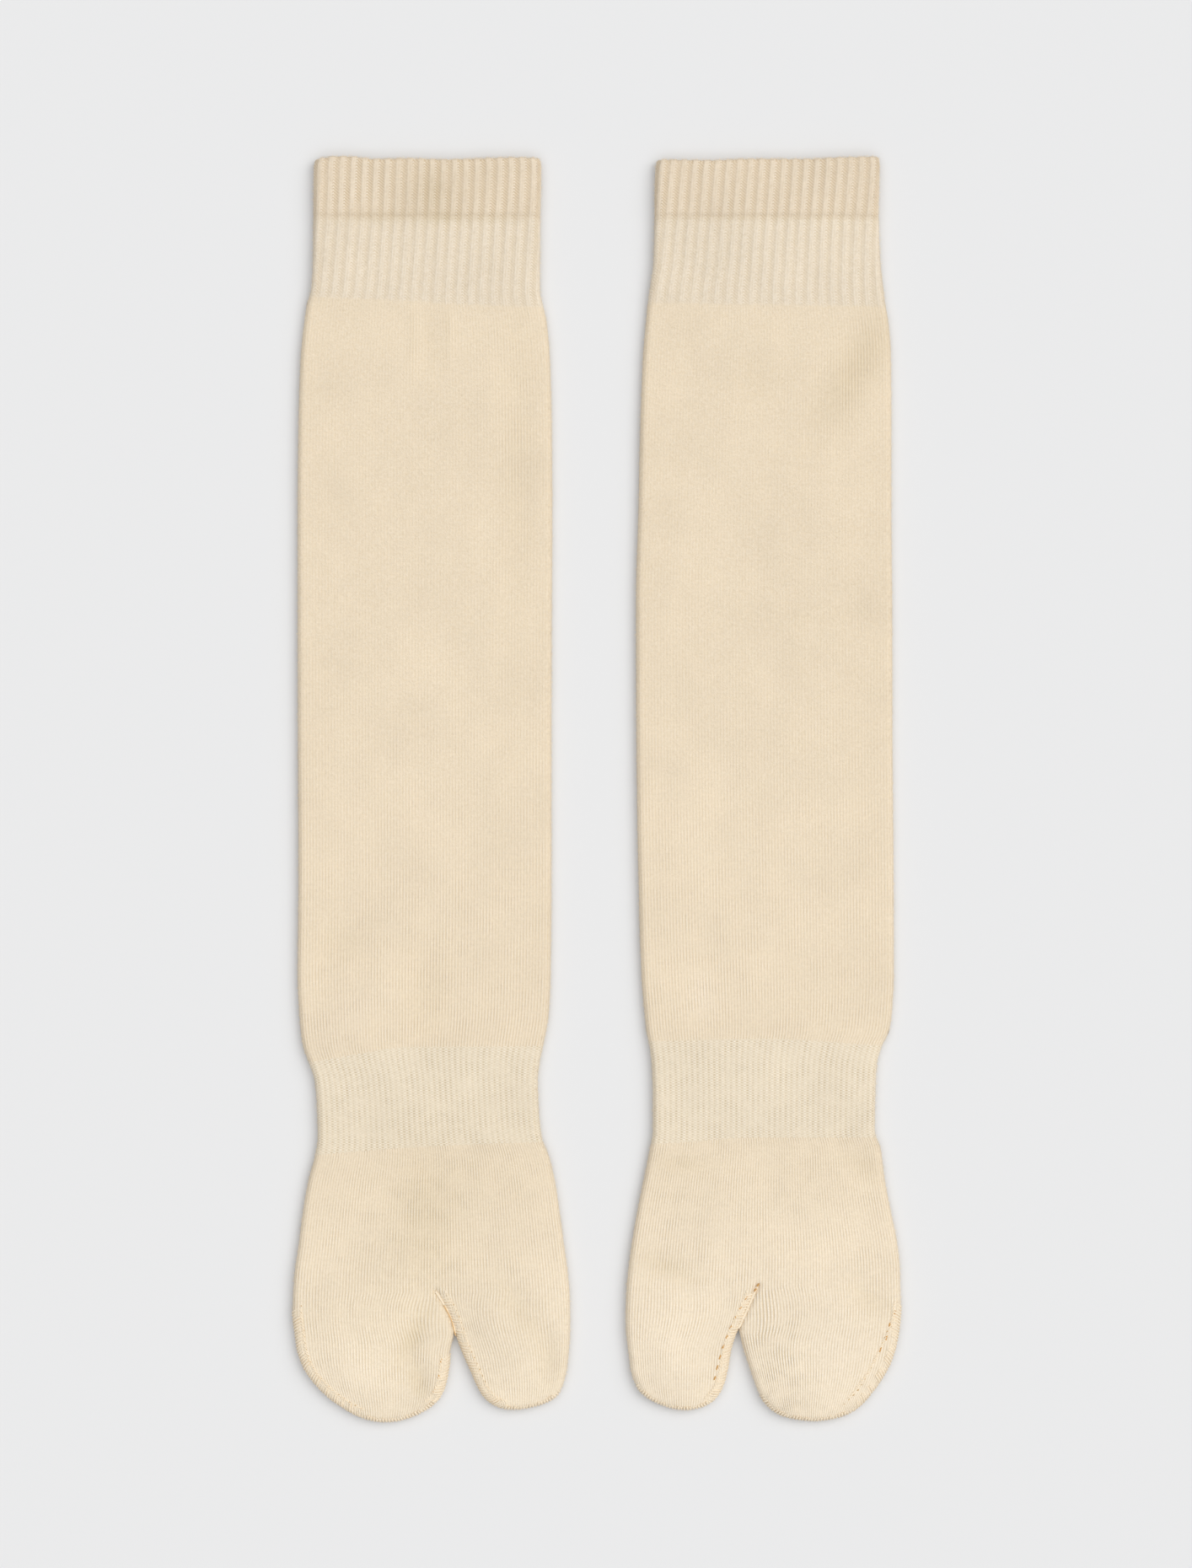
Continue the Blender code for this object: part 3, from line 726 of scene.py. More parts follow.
def linear(colour: str) -> tuple[float, ...]:
    """Turn an sRGB hex colour, such as #ECDBC1, to linear red, green, blue and alpha."""
    parts = [int(colour[index : index + 2], 16) / 255 for index in (1, 3, 5)]
    return *(((part + 0.055) / 1.055) ** 2.4 if part > 0.04045 else part / 12.92 for part in parts), 1.0


def add_node(
    tree: bpy.types.NodeTree, kind: str, inputs: Any = (), out: int | str = 0, **settings: Any
) -> Socket:
    """Add a node with its settings and its links.

    Args:
        tree: the tree that it goes in.
        kind: the node's type.
        inputs: a value or the socket that feeds it for each input, in order or by name or number.
        out: which of its outputs is wanted.
        settings: the node's own properties.

    Returns:
        That output, through which the node is reached too.
    """
    node = tree.nodes.new(kind)
    for name, value in settings.items():
        setattr(node, name, value)
    for key, value in inputs.items() if isinstance(inputs, dict) else enumerate(inputs):
        if isinstance(value, Socket):
            tree.links.new(value, node.inputs[key])
        else:
            node.inputs[key].default_value = value
    return node.outputs[out]


def add_object(name: str, data: Any) -> bpy.types.Object:
    """Put an object with this mesh, lamp or camera in the scene."""
    thing = bpy.data.objects.new(name, data)
    bpy.context.scene.collection.objects.link(thing)
    return thing


def set_values(mesh: bpy.types.Mesh, name: str, values: np.ndarray) -> None:
    """Keep a number or a vector for each point of the mesh under this name."""
    kind, part = ("FLOAT", "value") if values.ndim == 1 else ("FLOAT_VECTOR", "vector")
    mesh.attributes.new(name, kind, "POINT").data.foreach_set(part, values.ravel())


def face_outwards(mesh: bpy.types.Mesh) -> None:
    """Turn every face of a closed mesh outwards."""
    worker = bmesh.new()
    worker.from_mesh(mesh)
    bmesh.ops.recalc_face_normals(worker, faces=worker.faces[:])
    worker.to_mesh(mesh)
    worker.free()


def socket_name(tree: bpy.types.NodeTree, name: str) -> str:
    """The identifier of a tree's input, found by its name."""
    sockets = [item for item in tree.interface.items_tree if item.item_type == "SOCKET"]
    return next(item.identifier for item in sockets if item.in_out == "INPUT" and item.name == name)


def shape_tree(name: str, sizes: dict[str, Any]) -> tuple[bpy.types.NodeTree, Any]:
    """Start a geometry tree with a geometry input and a named input for each size.

    Args:
        name: the tree's name.
        sizes: the names of its sizes with their usual values.

    Returns:
        The tree and the sockets of its input node.
    """
    tree = bpy.data.node_groups.new(name, "GeometryNodeTree")
    for way in ("INPUT", "OUTPUT"):
        tree.interface.new_socket("Geometry", in_out=way, socket_type="NodeSocketGeometry")
    tree.interface.new_socket("Material", in_out="INPUT", socket_type="NodeSocketMaterial")
    for size, usual in sizes.items():
        kind = "NodeSocketVector" if isinstance(usual, tuple) else "NodeSocketFloat"
        tree.interface.new_socket(size, in_out="INPUT", socket_type=kind).default_value = usual
    return tree, tree.nodes.new("NodeGroupInput").outputs


def end_tree(tree: bpy.types.NodeTree, shape: Socket, material: Socket) -> None:
    """End a geometry tree in real geometry with its material set."""
    real = add_node(tree, "GeometryNodeRealizeInstances", (shape,))
    dressed = add_node(tree, "GeometryNodeSetMaterial", {"Geometry": real, "Material": material})
    tree.links.new(dressed, tree.nodes.new("NodeGroupOutput").inputs[0])


def made_real(
    thing: bpy.types.Object, tree: bpy.types.NodeTree, material: bpy.types.Material, sizes: dict[str, Any]
) -> bpy.types.Object:
    """Run a geometry tree on an object and keep the result as its plain mesh.

    Args:
        thing: the object that the tree starts from.
        tree: the geometry tree.
        material: the finish of what the tree makes.
        sizes: values for the tree's named inputs.

    Returns:
        The same object, with the new mesh and no modifier.
    """
    modifier = thing.modifiers.new(tree.name, "NODES")
    modifier.node_group = tree
    for name, value in {"Material": material, **sizes}.items():
        modifier[socket_name(tree, name)] = value
    graph = bpy.context.evaluated_depsgraph_get()
    mesh = bpy.data.meshes.new_from_object(thing.evaluated_get(graph), depsgraph=graph)
    thing.modifiers.clear()
    before = thing.data
    thing.data = mesh
    mesh.name = thing.name
    bpy.data.meshes.remove(before)
    mesh.shade_smooth()
    return thing


@dataclass(frozen=True)
class RibRelief:
    """Geometry nodes that press the valleys of the ribs into the cloth, along its stitch columns."""

    depth: float

    def apply(self, cloth: bpy.types.Object, material: bpy.types.Material) -> bpy.types.Object:
        """Move every point in by the ribs' depth where its column lies in a valley, and return the cloth."""
        sizes = {"Rib Depth": self.depth, "Wales per Rib": WALES_PER_RIB}
        tree, given = shape_tree("rib relief", sizes)
        add = partial(add_node, tree)
        wale = add(NAMED, {"Name": "wale"}, data_type="FLOAT")
        amount = add(NAMED, {"Name": "rib"}, data_type="FLOAT")
        ribs = add(MATH, (wale, given["Wales per Rib"]), operation="DIVIDE")
        turn = add(MATH, (ribs, 2 * math.pi), operation="MULTIPLY")
        wave = add(MATH, (turn,), operation="COSINE")
        valley = add(RANGE, {"Value": wave, "From Min": 0.55, "From Max": -0.85}, **SMOOTH)
        pressed = add(MATH, (valley, amount), operation="MULTIPLY")
        deep = add(MATH, (pressed, given["Rib Depth"]), operation="MULTIPLY")
        inwards = add(MATH, (deep, -1.0), operation="MULTIPLY")
        move = add(VECTOR, {0: add("GeometryNodeInputNormal"), "Scale": inwards}, operation="SCALE")
        moved = add("GeometryNodeSetPosition", {"Geometry": given["Geometry"], "Offset": move})
        end_tree(tree, moved, given["Material"])
        return made_real(cloth, tree, material, sizes)


@dataclass(frozen=True)
class StitchForm:
    """One stitch as it lies: its two ends and its middle, along the seam, inwards and up, in mm.

    A stitch that wraps the edge or lies in the slit starts from the height above_middle over the
    middle of the cloth; the others lie on its upper face.
    """

    start: tuple[float, float, float]
    middle: tuple[float, float, float]
    end: tuple[float, float, float]
    yarn: float
    spacing: float
    unevenness: float
    above_middle: float | None = None

    def sizes(self, inward: int) -> dict[str, Any]:
        """The stitch's sizes in metres, where inward is 1 or -1 for the side that the pocket lies on."""
        ends = {"Stitch Start": self.start, "Stitch Middle": self.middle, "Stitch End": self.end}
        placed = {end: (x * MM, y * MM * inward, z * MM) for end, (x, y, z) in ends.items()}
        plain = {"Spacing": self.spacing * MM, "Yarn Radius": self.yarn * MM, "Unevenness": self.unevenness}
        return placed | plain

    def tree(self, name: str) -> bpy.types.NodeTree:
        """Build the tree that sets one bent length of yarn at each step along a line on the cloth."""
        tree, given = shape_tree(name, self.sizes(1))
        add = partial(add_node, tree)
        line = add("GeometryNodeMeshToCurve", (given["Geometry"],))
        steps = add("GeometryNodeResampleCurve", {"Curve": line, "Length": given["Spacing"]}, mode="LENGTH")
        ends = {end: given[f"Stitch {end}"] for end in ("Start", "Middle", "End")}
        bend = add("GeometryNodeCurveQuadraticBezier", {"Resolution": 6} | ends)
        section = add(CIRCLE, {"Resolution": 6, "Radius": given["Yarn Radius"]}, mode="RADIUS")
        stitch = add(SWEEP, {"Curve": bend, "Profile Curve": section, "Fill Caps": True})
        facing = add(NAMED, {"Name": "facing"}, data_type="FLOAT_VECTOR")
        tangent = add("GeometryNodeInputTangent")
        axes = {"primary_axis": "Z", "secondary_axis": "X"}
        turned = add("FunctionNodeAxesToRotation", (facing, tangent), **axes)
        least = add(MATH, (1.0, given["Unevenness"]), operation="SUBTRACT")
        most = add(MATH, (1.0, given["Unevenness"]), operation="ADD")
        size = add(RANDOM, {0: least, 1: most, "Seed": 7}, data_type="FLOAT_VECTOR")
        row = add(ON_POINTS, {"Points": steps, "Instance": stitch, "Rotation": turned, "Scale": size})
        end_tree(tree, row, given["Material"])
        return tree


@dataclass
class KnittedSock:
    """One sock as a closed knitted wall, with its ribs, folds and zones."""

    plan: SockPlan
    shape: SockShape
    middle: float
    mouth: float
    rib_depth: float = 0.26
    lip: float = 1.2
    draft: ClothDraft = field(default_factory=ClothDraft)

    def build(self, finish: "KnitFinish") -> bpy.types.Object:
        """Build the cloth, give it its ribs and its finish, and return it."""
        outside = self.add_skin(False)
        inside = self.add_skin(True)
        self.add_lip(outside, inside)
        cloth = self.make_object(f"{self.plan.node}_cloth")
        material = finish.material(f"{finish.name} {self.plan.node.split('_')[0]}")
        cloth.data.materials.append(material)
        return RibRelief(self.rib_depth * MM).apply(cloth, material)

    def world(self, plan: np.ndarray, height: np.ndarray) -> np.ndarray:
        """Turn plan points and heights in millimetres to places in the shared frame, in millimetres."""
        drop = self.edge(plan[..., 0], self.plan.mouth_line) * (1.0 - ease(plan[..., 1] / MOUTH_REACH))
        return np.stack([self.middle + plan[..., 0], self.mouth - plan[..., 1] - drop, height], axis=-1)

    def turned(self, patch: Patch) -> np.ndarray:
        """Stitch columns with the lean of the ribs added, which turns the knit round the tube."""
        lean = np.array(self.plan.lean)
        return patch.wale + smooth_between(patch.points[..., 1], lean[:, 0], lean[:, 1])

    def add_skin(self, inside: bool) -> np.ndarray:
        """Add the outside or the inside of the cloth.

        Returns:
            The numbers of the points round its mouth, once round from the left edge.
        """
        plan, shape = self.plan, self.shape
        inset = KNIT_WALL if inside else 0.0
        slit_row = plan.slit_top.from_mouth - inset
        radius = float(shape.ring(plan.slit_top.from_mouth)[2]) / 2 - inset
        rows = shape.tube_rows(slit_row, radius)
        if inside:
            rows = np.concatenate([rows[:1], rows[4:-TURN_STEPS:4], rows[-TURN_STEPS:]])
        tube = shape.tube_patch(rows, slit_row, inside)
        mouth_row = tube.points[0].copy(), tube.wale[0].copy()
        if inside:
            tube = Patch(*(grid[:, ::INSIDE_EVERY] for grid in (tube.points, tube.wale, tube.on_outline)))
        kept = INSIDE_EVERY if inside else 1
        left_columns = plan.left_columns // kept
        layers = self.add_layers(tube, inside, None, skip_first=inside)
        last_row = tube.points[-1]
        pocket_rows = POCKET_ROWS // 3 if inside else POCKET_ROWS
        halves = [
            (Pocket.LEFT, slice(None, left_columns + 1), 1),
            (Pocket.RIGHT, slice(left_columns, None), -1),
        ]
        for pocket, part, order in halves:
            top = last_row[part][::order]
            wales = tube.wale[-1][part][::order]
            outline = shape.pocket_outline(pocket, inset)
            columns = plan.left_columns if pocket is Pocket.LEFT else plan.right_columns
            follow = 1.0 if columns == WIDE_POCKET_COLUMNS else 0.5
            patch = shape.pocket_patch(top, wales, outline, radius, pocket_rows, follow)
            shared = [layer[-1][part][::order] for layer in layers]
            self.add_layers(patch, inside, shared, flip=order < 0)
        if not inside:
            return np.concatenate([layers[0][0], layers[1][0][-2:0:-1]])
        return self.add_inside_mouth(*mouth_row, layers)

    def add_layers(
        self,
        patch: Patch,
        inside: bool,
        shared: list[np.ndarray] | None,
        flip: bool = False,
        skip_first: bool = False,
    ) -> list[np.ndarray]:
        """Add a patch's upper and lower layers, which share their points on the outline.

        Args:
            patch: the grid to add.
            inside: whether it is the inside of the cloth, whose faces look the other way.
            shared: the points that its first row already has on each layer.
            flip: whether its columns run from right to left.
            skip_first: whether its first row is left out, to be joined on later.

        Returns:
            The point numbers of the upper and of the lower layer.
        """
        grids = (patch.points, self.turned(patch), patch.on_outline, patch.wale)
        points, wale, on_outline, plain = (grid[int(skip_first) :] for grid in grids)
        upper, lower = self.shape.heights(points, inside)
        outer = 0.0 if inside else 1.0
        under_wale = 2 * WALES_ACROSS - 2 * plain + wale
        top = self.draft.add_points(self.world(points, upper), wale, under_wale, points, outer)
        under = self.draft.add_points(self.world(points, lower), under_wale, under_wale, points, outer)
        under = np.where(on_outline, top, under)
        if shared is not None:
            top[0], under[0] = shared
        self.draft.add_quads(top, flip == inside, 1)
        self.draft.add_quads(under, flip != inside, -1)
        return [top, under]

    def add_inside_mouth(self, points: np.ndarray, wale: np.ndarray, layers: list[np.ndarray]) -> np.ndarray:
        """Add the inside's first ring at the outside's fineness, and join the coarser ring under it."""
        patch = Patch(points[None], wale[None], np.zeros((1, len(wale)), bool))
        patch.on_outline[:, [0, -1]] = True
        upper, lower = self.shape.heights(patch.points, True)
        turned = self.turned(patch)
        top = self.draft.add_points(self.world(patch.points, upper), turned, turned, patch.points, 0.0)[0]
        under = self.draft.add_points(self.world(patch.points, lower), turned, turned, patch.points, 0.0)[0]
        under[[0, -1]] = top[[0, -1]]
        for fine, coarse, flip, side in ((top, layers[0][0], False, 1), (under, layers[1][0], True, -1)):
            self.join_rows(fine, coarse, flip, side)
        return np.concatenate([top, under[-2:0:-1]])

    def join_rows(self, fine: np.ndarray, coarse: np.ndarray, flip: bool, side: int) -> None:
        """Join a fine row of points to a coarse one that has every fifth of its columns."""
        faces = []
        half = INSIDE_EVERY // 2 + 1
        for index, (start, end) in enumerate(zip(coarse, coarse[1:])):
            first = index * INSIDE_EVERY
            for step in range(INSIDE_EVERY):
                apex = start if step < half else end
                faces.append((fine[first + step], apex, fine[first + step + 1]))
            faces.append((fine[first + half], start, end))
        faces = np.array(faces)
        self.draft.add_faces(faces[:, ::-1] if flip else faces, side)

    def add_lip(self, outside: np.ndarray, inside: np.ndarray) -> None:
        """Join outside and inside round the mouth with a rounded lip, where the welt turns over."""
        draft = self.draft
        places, wales, unders = (np.concatenate(parts) for parts in (draft.places, draft.wales, draft.unders))
        out, inn = places[outside], places[inside]
        rows = [outside]
        for step in range(1, LIP_STEPS):
            turn = math.pi * step / LIP_STEPS
            ring = (out + inn) / 2 + (out - inn) / 2 * math.cos(turn)
            ring[:, 1] += self.lip * math.sin(turn)
            plan = np.stack([ring[:, 0] - self.middle, self.mouth - ring[:, 1]], axis=1)
            rows.append(draft.add_points(ring, wales[outside], unders[outside], plan, 1.0))
        closed = np.array([np.append(row, row[0]) for row in (*rows, inside)])
        draft.add_quads(closed, True, 1)

    def make_object(self, name: str) -> bpy.types.Object:
        """Turn the draft into a mesh with the maps and attributes that its finish reads."""
        draft = self.draft
        mesh = bpy.data.meshes.new(name)
        places = np.concatenate(draft.places) * MM
        corners = [row for faces in draft.faces for row in faces.tolist()]
        mesh.from_pydata(places.tolist(), [], corners)
        face_outwards(mesh)
        wale = np.concatenate(draft.wales)
        plan = np.concatenate(draft.plans)
        side = np.repeat(np.concatenate(draft.sides), [len(row) for row in corners])
        loops = np.empty(len(mesh.loops), np.int32)
        mesh.loops.foreach_get("vertex_index", loops)
        column = np.where(side < 0, np.concatenate(draft.unders)[loops], wale[loops])
        knit = mesh.uv_layers.new(name="knit")
        knit.data.foreach_set("uv", np.stack([column, plan[loops, 1] / COURSE], axis=1).ravel())
        set_values(mesh, "wale", wale)
        set_values(mesh, "rib", self.rib_amount(plan) * np.concatenate(draft.outer))
        # The painted shade and light that follow the folds, which the finish uses to darken or lighten the
        # colour.
        set_values(mesh, "fold_shading", soft_spots(plan, self.plan.painted_fold_shading))
        crisp = LEG_CRISP + FOOT_CRISPER * ease((plan[:, 1] - CRISPER_START) / CRISPER_REACH)
        set_values(mesh, "crisp", crisp + soft_spots(plan, self.plan.crisp))
        edges = (self.plan.cuff_end, self.plan.band_start, self.plan.band_end)
        past = [plan[:, 1] - self.edge(plan[:, 0], spots) for spots in edges]
        set_values(mesh, "zones", np.stack(past, axis=1))
        mesh.validate()
        mesh.shade_smooth()
        return add_object(name, mesh)

    def edge(self, across: np.ndarray, spots: list[Spot]) -> np.ndarray:
        """Place of a zone's edge at each of these points across the sock."""
        line = np.array(spots)
        return smooth_between(across, line[:, 0], line[:, 1])

    def rib_amount(self, plan: np.ndarray) -> np.ndarray:
        """How deep the ribs are: full in the welt, shallower down the cuff and in the groove under the
        welt, and gone where the cuff ends."""
        past = plan[:, 1] - self.edge(plan[:, 0], self.plan.cuff_end)
        left = 1.0 - ease((past + 4.0) / 6.0)
        shallower = 1.0 - 0.4 * ease((past + 34.0) / 34.0)
        groove = 1.0 - 0.55 * np.exp(-(((plan[:, 1] - WELT_DEPTH) / 1.6) ** 2))
        return left * shallower * groove


class Seam(NamedTuple):
    """A row of stitches on a toe pocket: a line through its spots, or the stretch of the pocket's
    outline between them moved in by inset."""

    name: str
    kind: str
    pocket: Pocket
    spots: list[Spot]
    inset: float = 0.0
    follows_outline: bool = True


# Four of these forms are not yarn but beads of painted shade: the warm line down the slit, the mark at the
# slit's top, and the dark dots in the open stitches of the toe seams.
STITCHES = {
    "overcast": StitchForm((-1.0, 2.8, 2.26), (-0.1, 0.0, 2.3), (0.9, -0.1, -0.5), 0.4, 1.12, 0.12, 0.0),
    "scallop": StitchForm((-0.2, 1.3, 1.92), (0.0, -0.05, 1.9), (0.2, -0.12, -0.6), 0.38, 1.12, 0.16, 0.0),
    "linked": StitchForm((-0.6, -0.35, -0.2), (0.0, 0.0, 0.3), (0.6, 0.35, -0.2), 0.3, 1.2, 0.2),
    "slit_shade_cord": StitchForm((-0.8, 0.0, 0.0), (0.0, 0.0, 0.05), (0.8, 0.0, 0.0), 0.2, 0.8, 0.2, 1.75),
    "closing": StitchForm((-0.8, 0.12, 0.0), (0.0, 0.0, 0.1), (0.8, -0.12, 0.0), 0.5, 0.9, 0.08, 1.3),
    "slit_top_shade": StitchForm((-0.6, 0.1, -0.1), (0.0, 0.0, 0.2), (0.6, -0.1, -0.1), 0.27, 2.5, 0.1, 2.2),
    "open_stitch_shade": StitchForm((-0.75, 0.1, -0.1), (0.0, 0.0, 0.25), (0.75, -0.1, -0.1), 0.26, 3.8, 0.25),
    "pinhole_shade": StitchForm((-0.26, 0.0, -0.1), (0.0, 0.0, 0.12), (0.26, 0.0, -0.1), 0.17, 2.3, 0.5),
}

SEAMS = {
    "right_foot_sock": [
        Seam("big_toe_slit", "overcast", Pocket.RIGHT, [Spot(5.5, 418.5), Spot(28.8, 459.8)]),
        Seam("big_toe_tip", "scallop", Pocket.RIGHT, [Spot(29.6, 459.9), Spot(49.5, 453.8)]),
        Seam("big_toe_row", "linked", Pocket.RIGHT, [Spot(5.5, 418.5), Spot(28.8, 459.8)], 2.9),
        Seam("big_toe_open", "pinhole_shade", Pocket.RIGHT, [Spot(7.2, 421.2), Spot(24.2, 457.7)], 3.2),
        Seam(
            "slit", "closing", Pocket.RIGHT,
            [Spot(4.4, 417.4), Spot(6.9, 421.4), Spot(9.6, 427.0), Spot(11.0, 431.4)], follows_outline=False,
        ),
        Seam(
            "slit_line", "slit_shade_cord", Pocket.RIGHT,
            [Spot(7.4, 422.6), Spot(9.6, 427.0), Spot(11.1, 432.2)], follows_outline=False,
        ),
        Seam("toes_outer", "overcast", Pocket.LEFT, [Spot(-48.6, 424.0), Spot(-25.0, 462.4)]),
        Seam("toes_tip", "scallop", Pocket.LEFT, [Spot(-24.0, 462.9), Spot(4.5, 457.0)]),
        Seam("toes_end", "overcast", Pocket.LEFT, [Spot(4.4, 457.2), Spot(9.0, 441.0)]),
        Seam("toes_end_row", "linked", Pocket.LEFT, [Spot(2.0, 459.3), Spot(9.2, 441.0)], 3.0),
        Seam("toes_end_open", "open_stitch_shade", Pocket.LEFT, [Spot(5.9, 454.6), Spot(8.8, 442.5)], 3.0),
        Seam("toes_row", "linked", Pocket.LEFT, [Spot(-48.6, 424.0), Spot(-24.0, 462.9)], 3.1),
        Seam("toes_open", "pinhole_shade", Pocket.LEFT, [Spot(-48.6, 422.0), Spot(-25.0, 462.4)], 3.3),
    ],
    "left_foot_sock": [
        Seam("big_toe_slit", "overcast", Pocket.LEFT, [Spot(-20.2, 457.8), Spot(-4.3, 418.0)]),
        Seam("big_toe_tip", "scallop", Pocket.LEFT, [Spot(-47.2, 451.7), Spot(-21.0, 458.2)]),
        Seam("big_toe_row", "linked", Pocket.LEFT, [Spot(-20.2, 457.8), Spot(-4.3, 418.0)], 2.8),
        Seam(
            "big_toe_open", "open_stitch_shade", Pocket.LEFT,
            [
                Spot(-7.0, 419.2), Spot(-7.9, 420.6), Spot(-11.5, 427.3),
                Spot(-14.5, 434.3), Spot(-16.9, 441.8), Spot(-18.5, 448.5),
            ], follows_outline=False,
        ),
        Seam(
            "slit", "closing", Pocket.LEFT,
            [Spot(-3.1, 415.4), Spot(-6.1, 422.3), Spot(-9.4, 429.6)], follows_outline=False,
        ),
        Seam("slit_top", "slit_top_shade", Pocket.LEFT, [Spot(-3.6, 416.2), Spot(-2.6, 414.4)], follows_outline=False),
        Seam("toes_outer", "overcast", Pocket.RIGHT, [Spot(49.9, 422.0), Spot(33.5, 459.8)]),
        Seam("toes_tip", "scallop", Pocket.RIGHT, [Spot(32.5, 460.4), Spot(-1.5, 455.5)]),
        Seam(
            "toes_row", "linked", Pocket.RIGHT,
            [
                Spot(47.3, 421.0), Spot(46.0, 429.5), Spot(42.3, 437.2),
                Spot(37.4, 446.6), Spot(31.0, 455.5),
            ], follows_outline=False,
        ),
        Seam(
            "toes_open", "open_stitch_shade", Pocket.RIGHT,
            [
                Spot(47.6, 424.5), Spot(45.3, 430.0),
                Spot(44.4, 434.0), Spot(42.3, 438.0),
            ], follows_outline=False,
        ),
        Seam(
            "toes_pinholes", "pinhole_shade", Pocket.RIGHT,
            [
                Spot(46.6, 427.0), Spot(41.0, 440.4), Spot(38.0, 446.2),
                Spot(34.2, 452.7), Spot(29.0, 458.0),
            ], follows_outline=False,
        ),
    ],
}


@dataclass
class LinkedSeams:
    """All the stitches of one kind on one sock's toe pockets, or all its beads of painted shade of one kind,
    as one piece.
    """

    sock: KnittedSock
    kind: str
    seams: list[Seam]

    def build(self, material: bpy.types.Material) -> bpy.types.Object:
        """Lay the seams' lines on the cloth and run the stitches along them."""
        form = STITCHES[self.kind]
        name = f"{self.sock.plan.node}_{self.kind}_stitches"
        made = []
        for seam in self.seams:
            line = self.line(seam, form.above_middle, f"{name}_{seam.name}")
            tree = form.tree(f"{self.kind} stitches")
            made.append(made_real(line, tree, material, form.sizes(seam.pocket.value)))
        first = made[0]
        if len(made) > 1:
            with bpy.context.temp_override(active_object=first, selected_editable_objects=made):
                bpy.ops.object.join()
        first.name = first.data.name = name
        face_outwards(first.data)
        return first

    def line(self, seam: Seam, above_middle: float | None, name: str) -> bpy.types.Object:
        """A line of points on the cloth's upper face, or above its middle where the seam wraps its edge."""
        plan = self.path(seam)
        shape = self.sock.shape
        if above_middle is None:
            height, facing = shape.upper(plan)
        else:
            height = shape.ring(plan[:, 1])[2] / 2 + above_middle
            facing = np.tile([0.0, 0.0, 1.0], (len(plan), 1))
        places = self.sock.world(plan, height) * MM
        mesh = bpy.data.meshes.new(name)
        mesh.from_pydata(places.tolist(), [(index, index + 1) for index in range(len(places) - 1)], [])
        set_values(mesh, "facing", facing)
        return add_object(name, mesh)

    def path(self, seam: Seam) -> np.ndarray:
        """The seam's line in plan."""
        if seam.follows_outline:
            outline = self.sock.shape.pocket_outline(seam.pocket, 0.0)
            ends = [int(np.linalg.norm(outline - np.array(spot), axis=1).argmin()) for spot in seam.spots]
            curve = outline[min(ends) : max(ends) + 1]
        else:
            curve = smooth_curve(seam.spots)
        even = points_along(curve, np.linspace(0.0, 1.0, int(lengths_along(curve)[-1] / SEAM_STEP) + 2))
        return moved_inwards(even, seam.inset, seam.pocket.value) if seam.follows_outline else even


def matt_finish(name: str, roughness: float, specular: float = 0.25) -> tuple[bpy.types.Material, Any]:
    """Start a finish with little shine.

    Args:
        name: what the finish is.
        roughness: how rough it is, from 0 to 1.
        specular: how much it shines.

    Returns:
        The material and its shader's inputs.
    """
    material = bpy.data.materials.new(name)
    material.use_nodes = True
    shader = material.node_tree.nodes["Principled BSDF"].inputs
    shader["Roughness"].default_value = roughness
    shader["Specular IOR Level"].default_value = specular
    return material, shader


class Tone(NamedTuple):
    """The colour in the gaps between the stitches, darker with painted shade, and the yarn's colour on top of
    them.
    """

    deep: str
    light: str


class Mottle(NamedTuple):
    """Patchy noise read as a level from least to most; edge, below 0.5, is where its lows are cut off."""

    scale: float
    detail: float
    roughness: float
    edge: float
    least: float
    most: float

    def level(self, add: Adder, place: Socket) -> Socket:
        """How high the level is at this place."""
        grain = {"Scale": self.scale, "Detail": self.detail, "Roughness": self.roughness}
        span = {"From Min": self.edge, "From Max": 1.0 - self.edge, "To Min": self.least, "To Max": self.most}
        return add(RANGE, {"Value": add(NOISE, {"Vector": place} | grain)} | span)


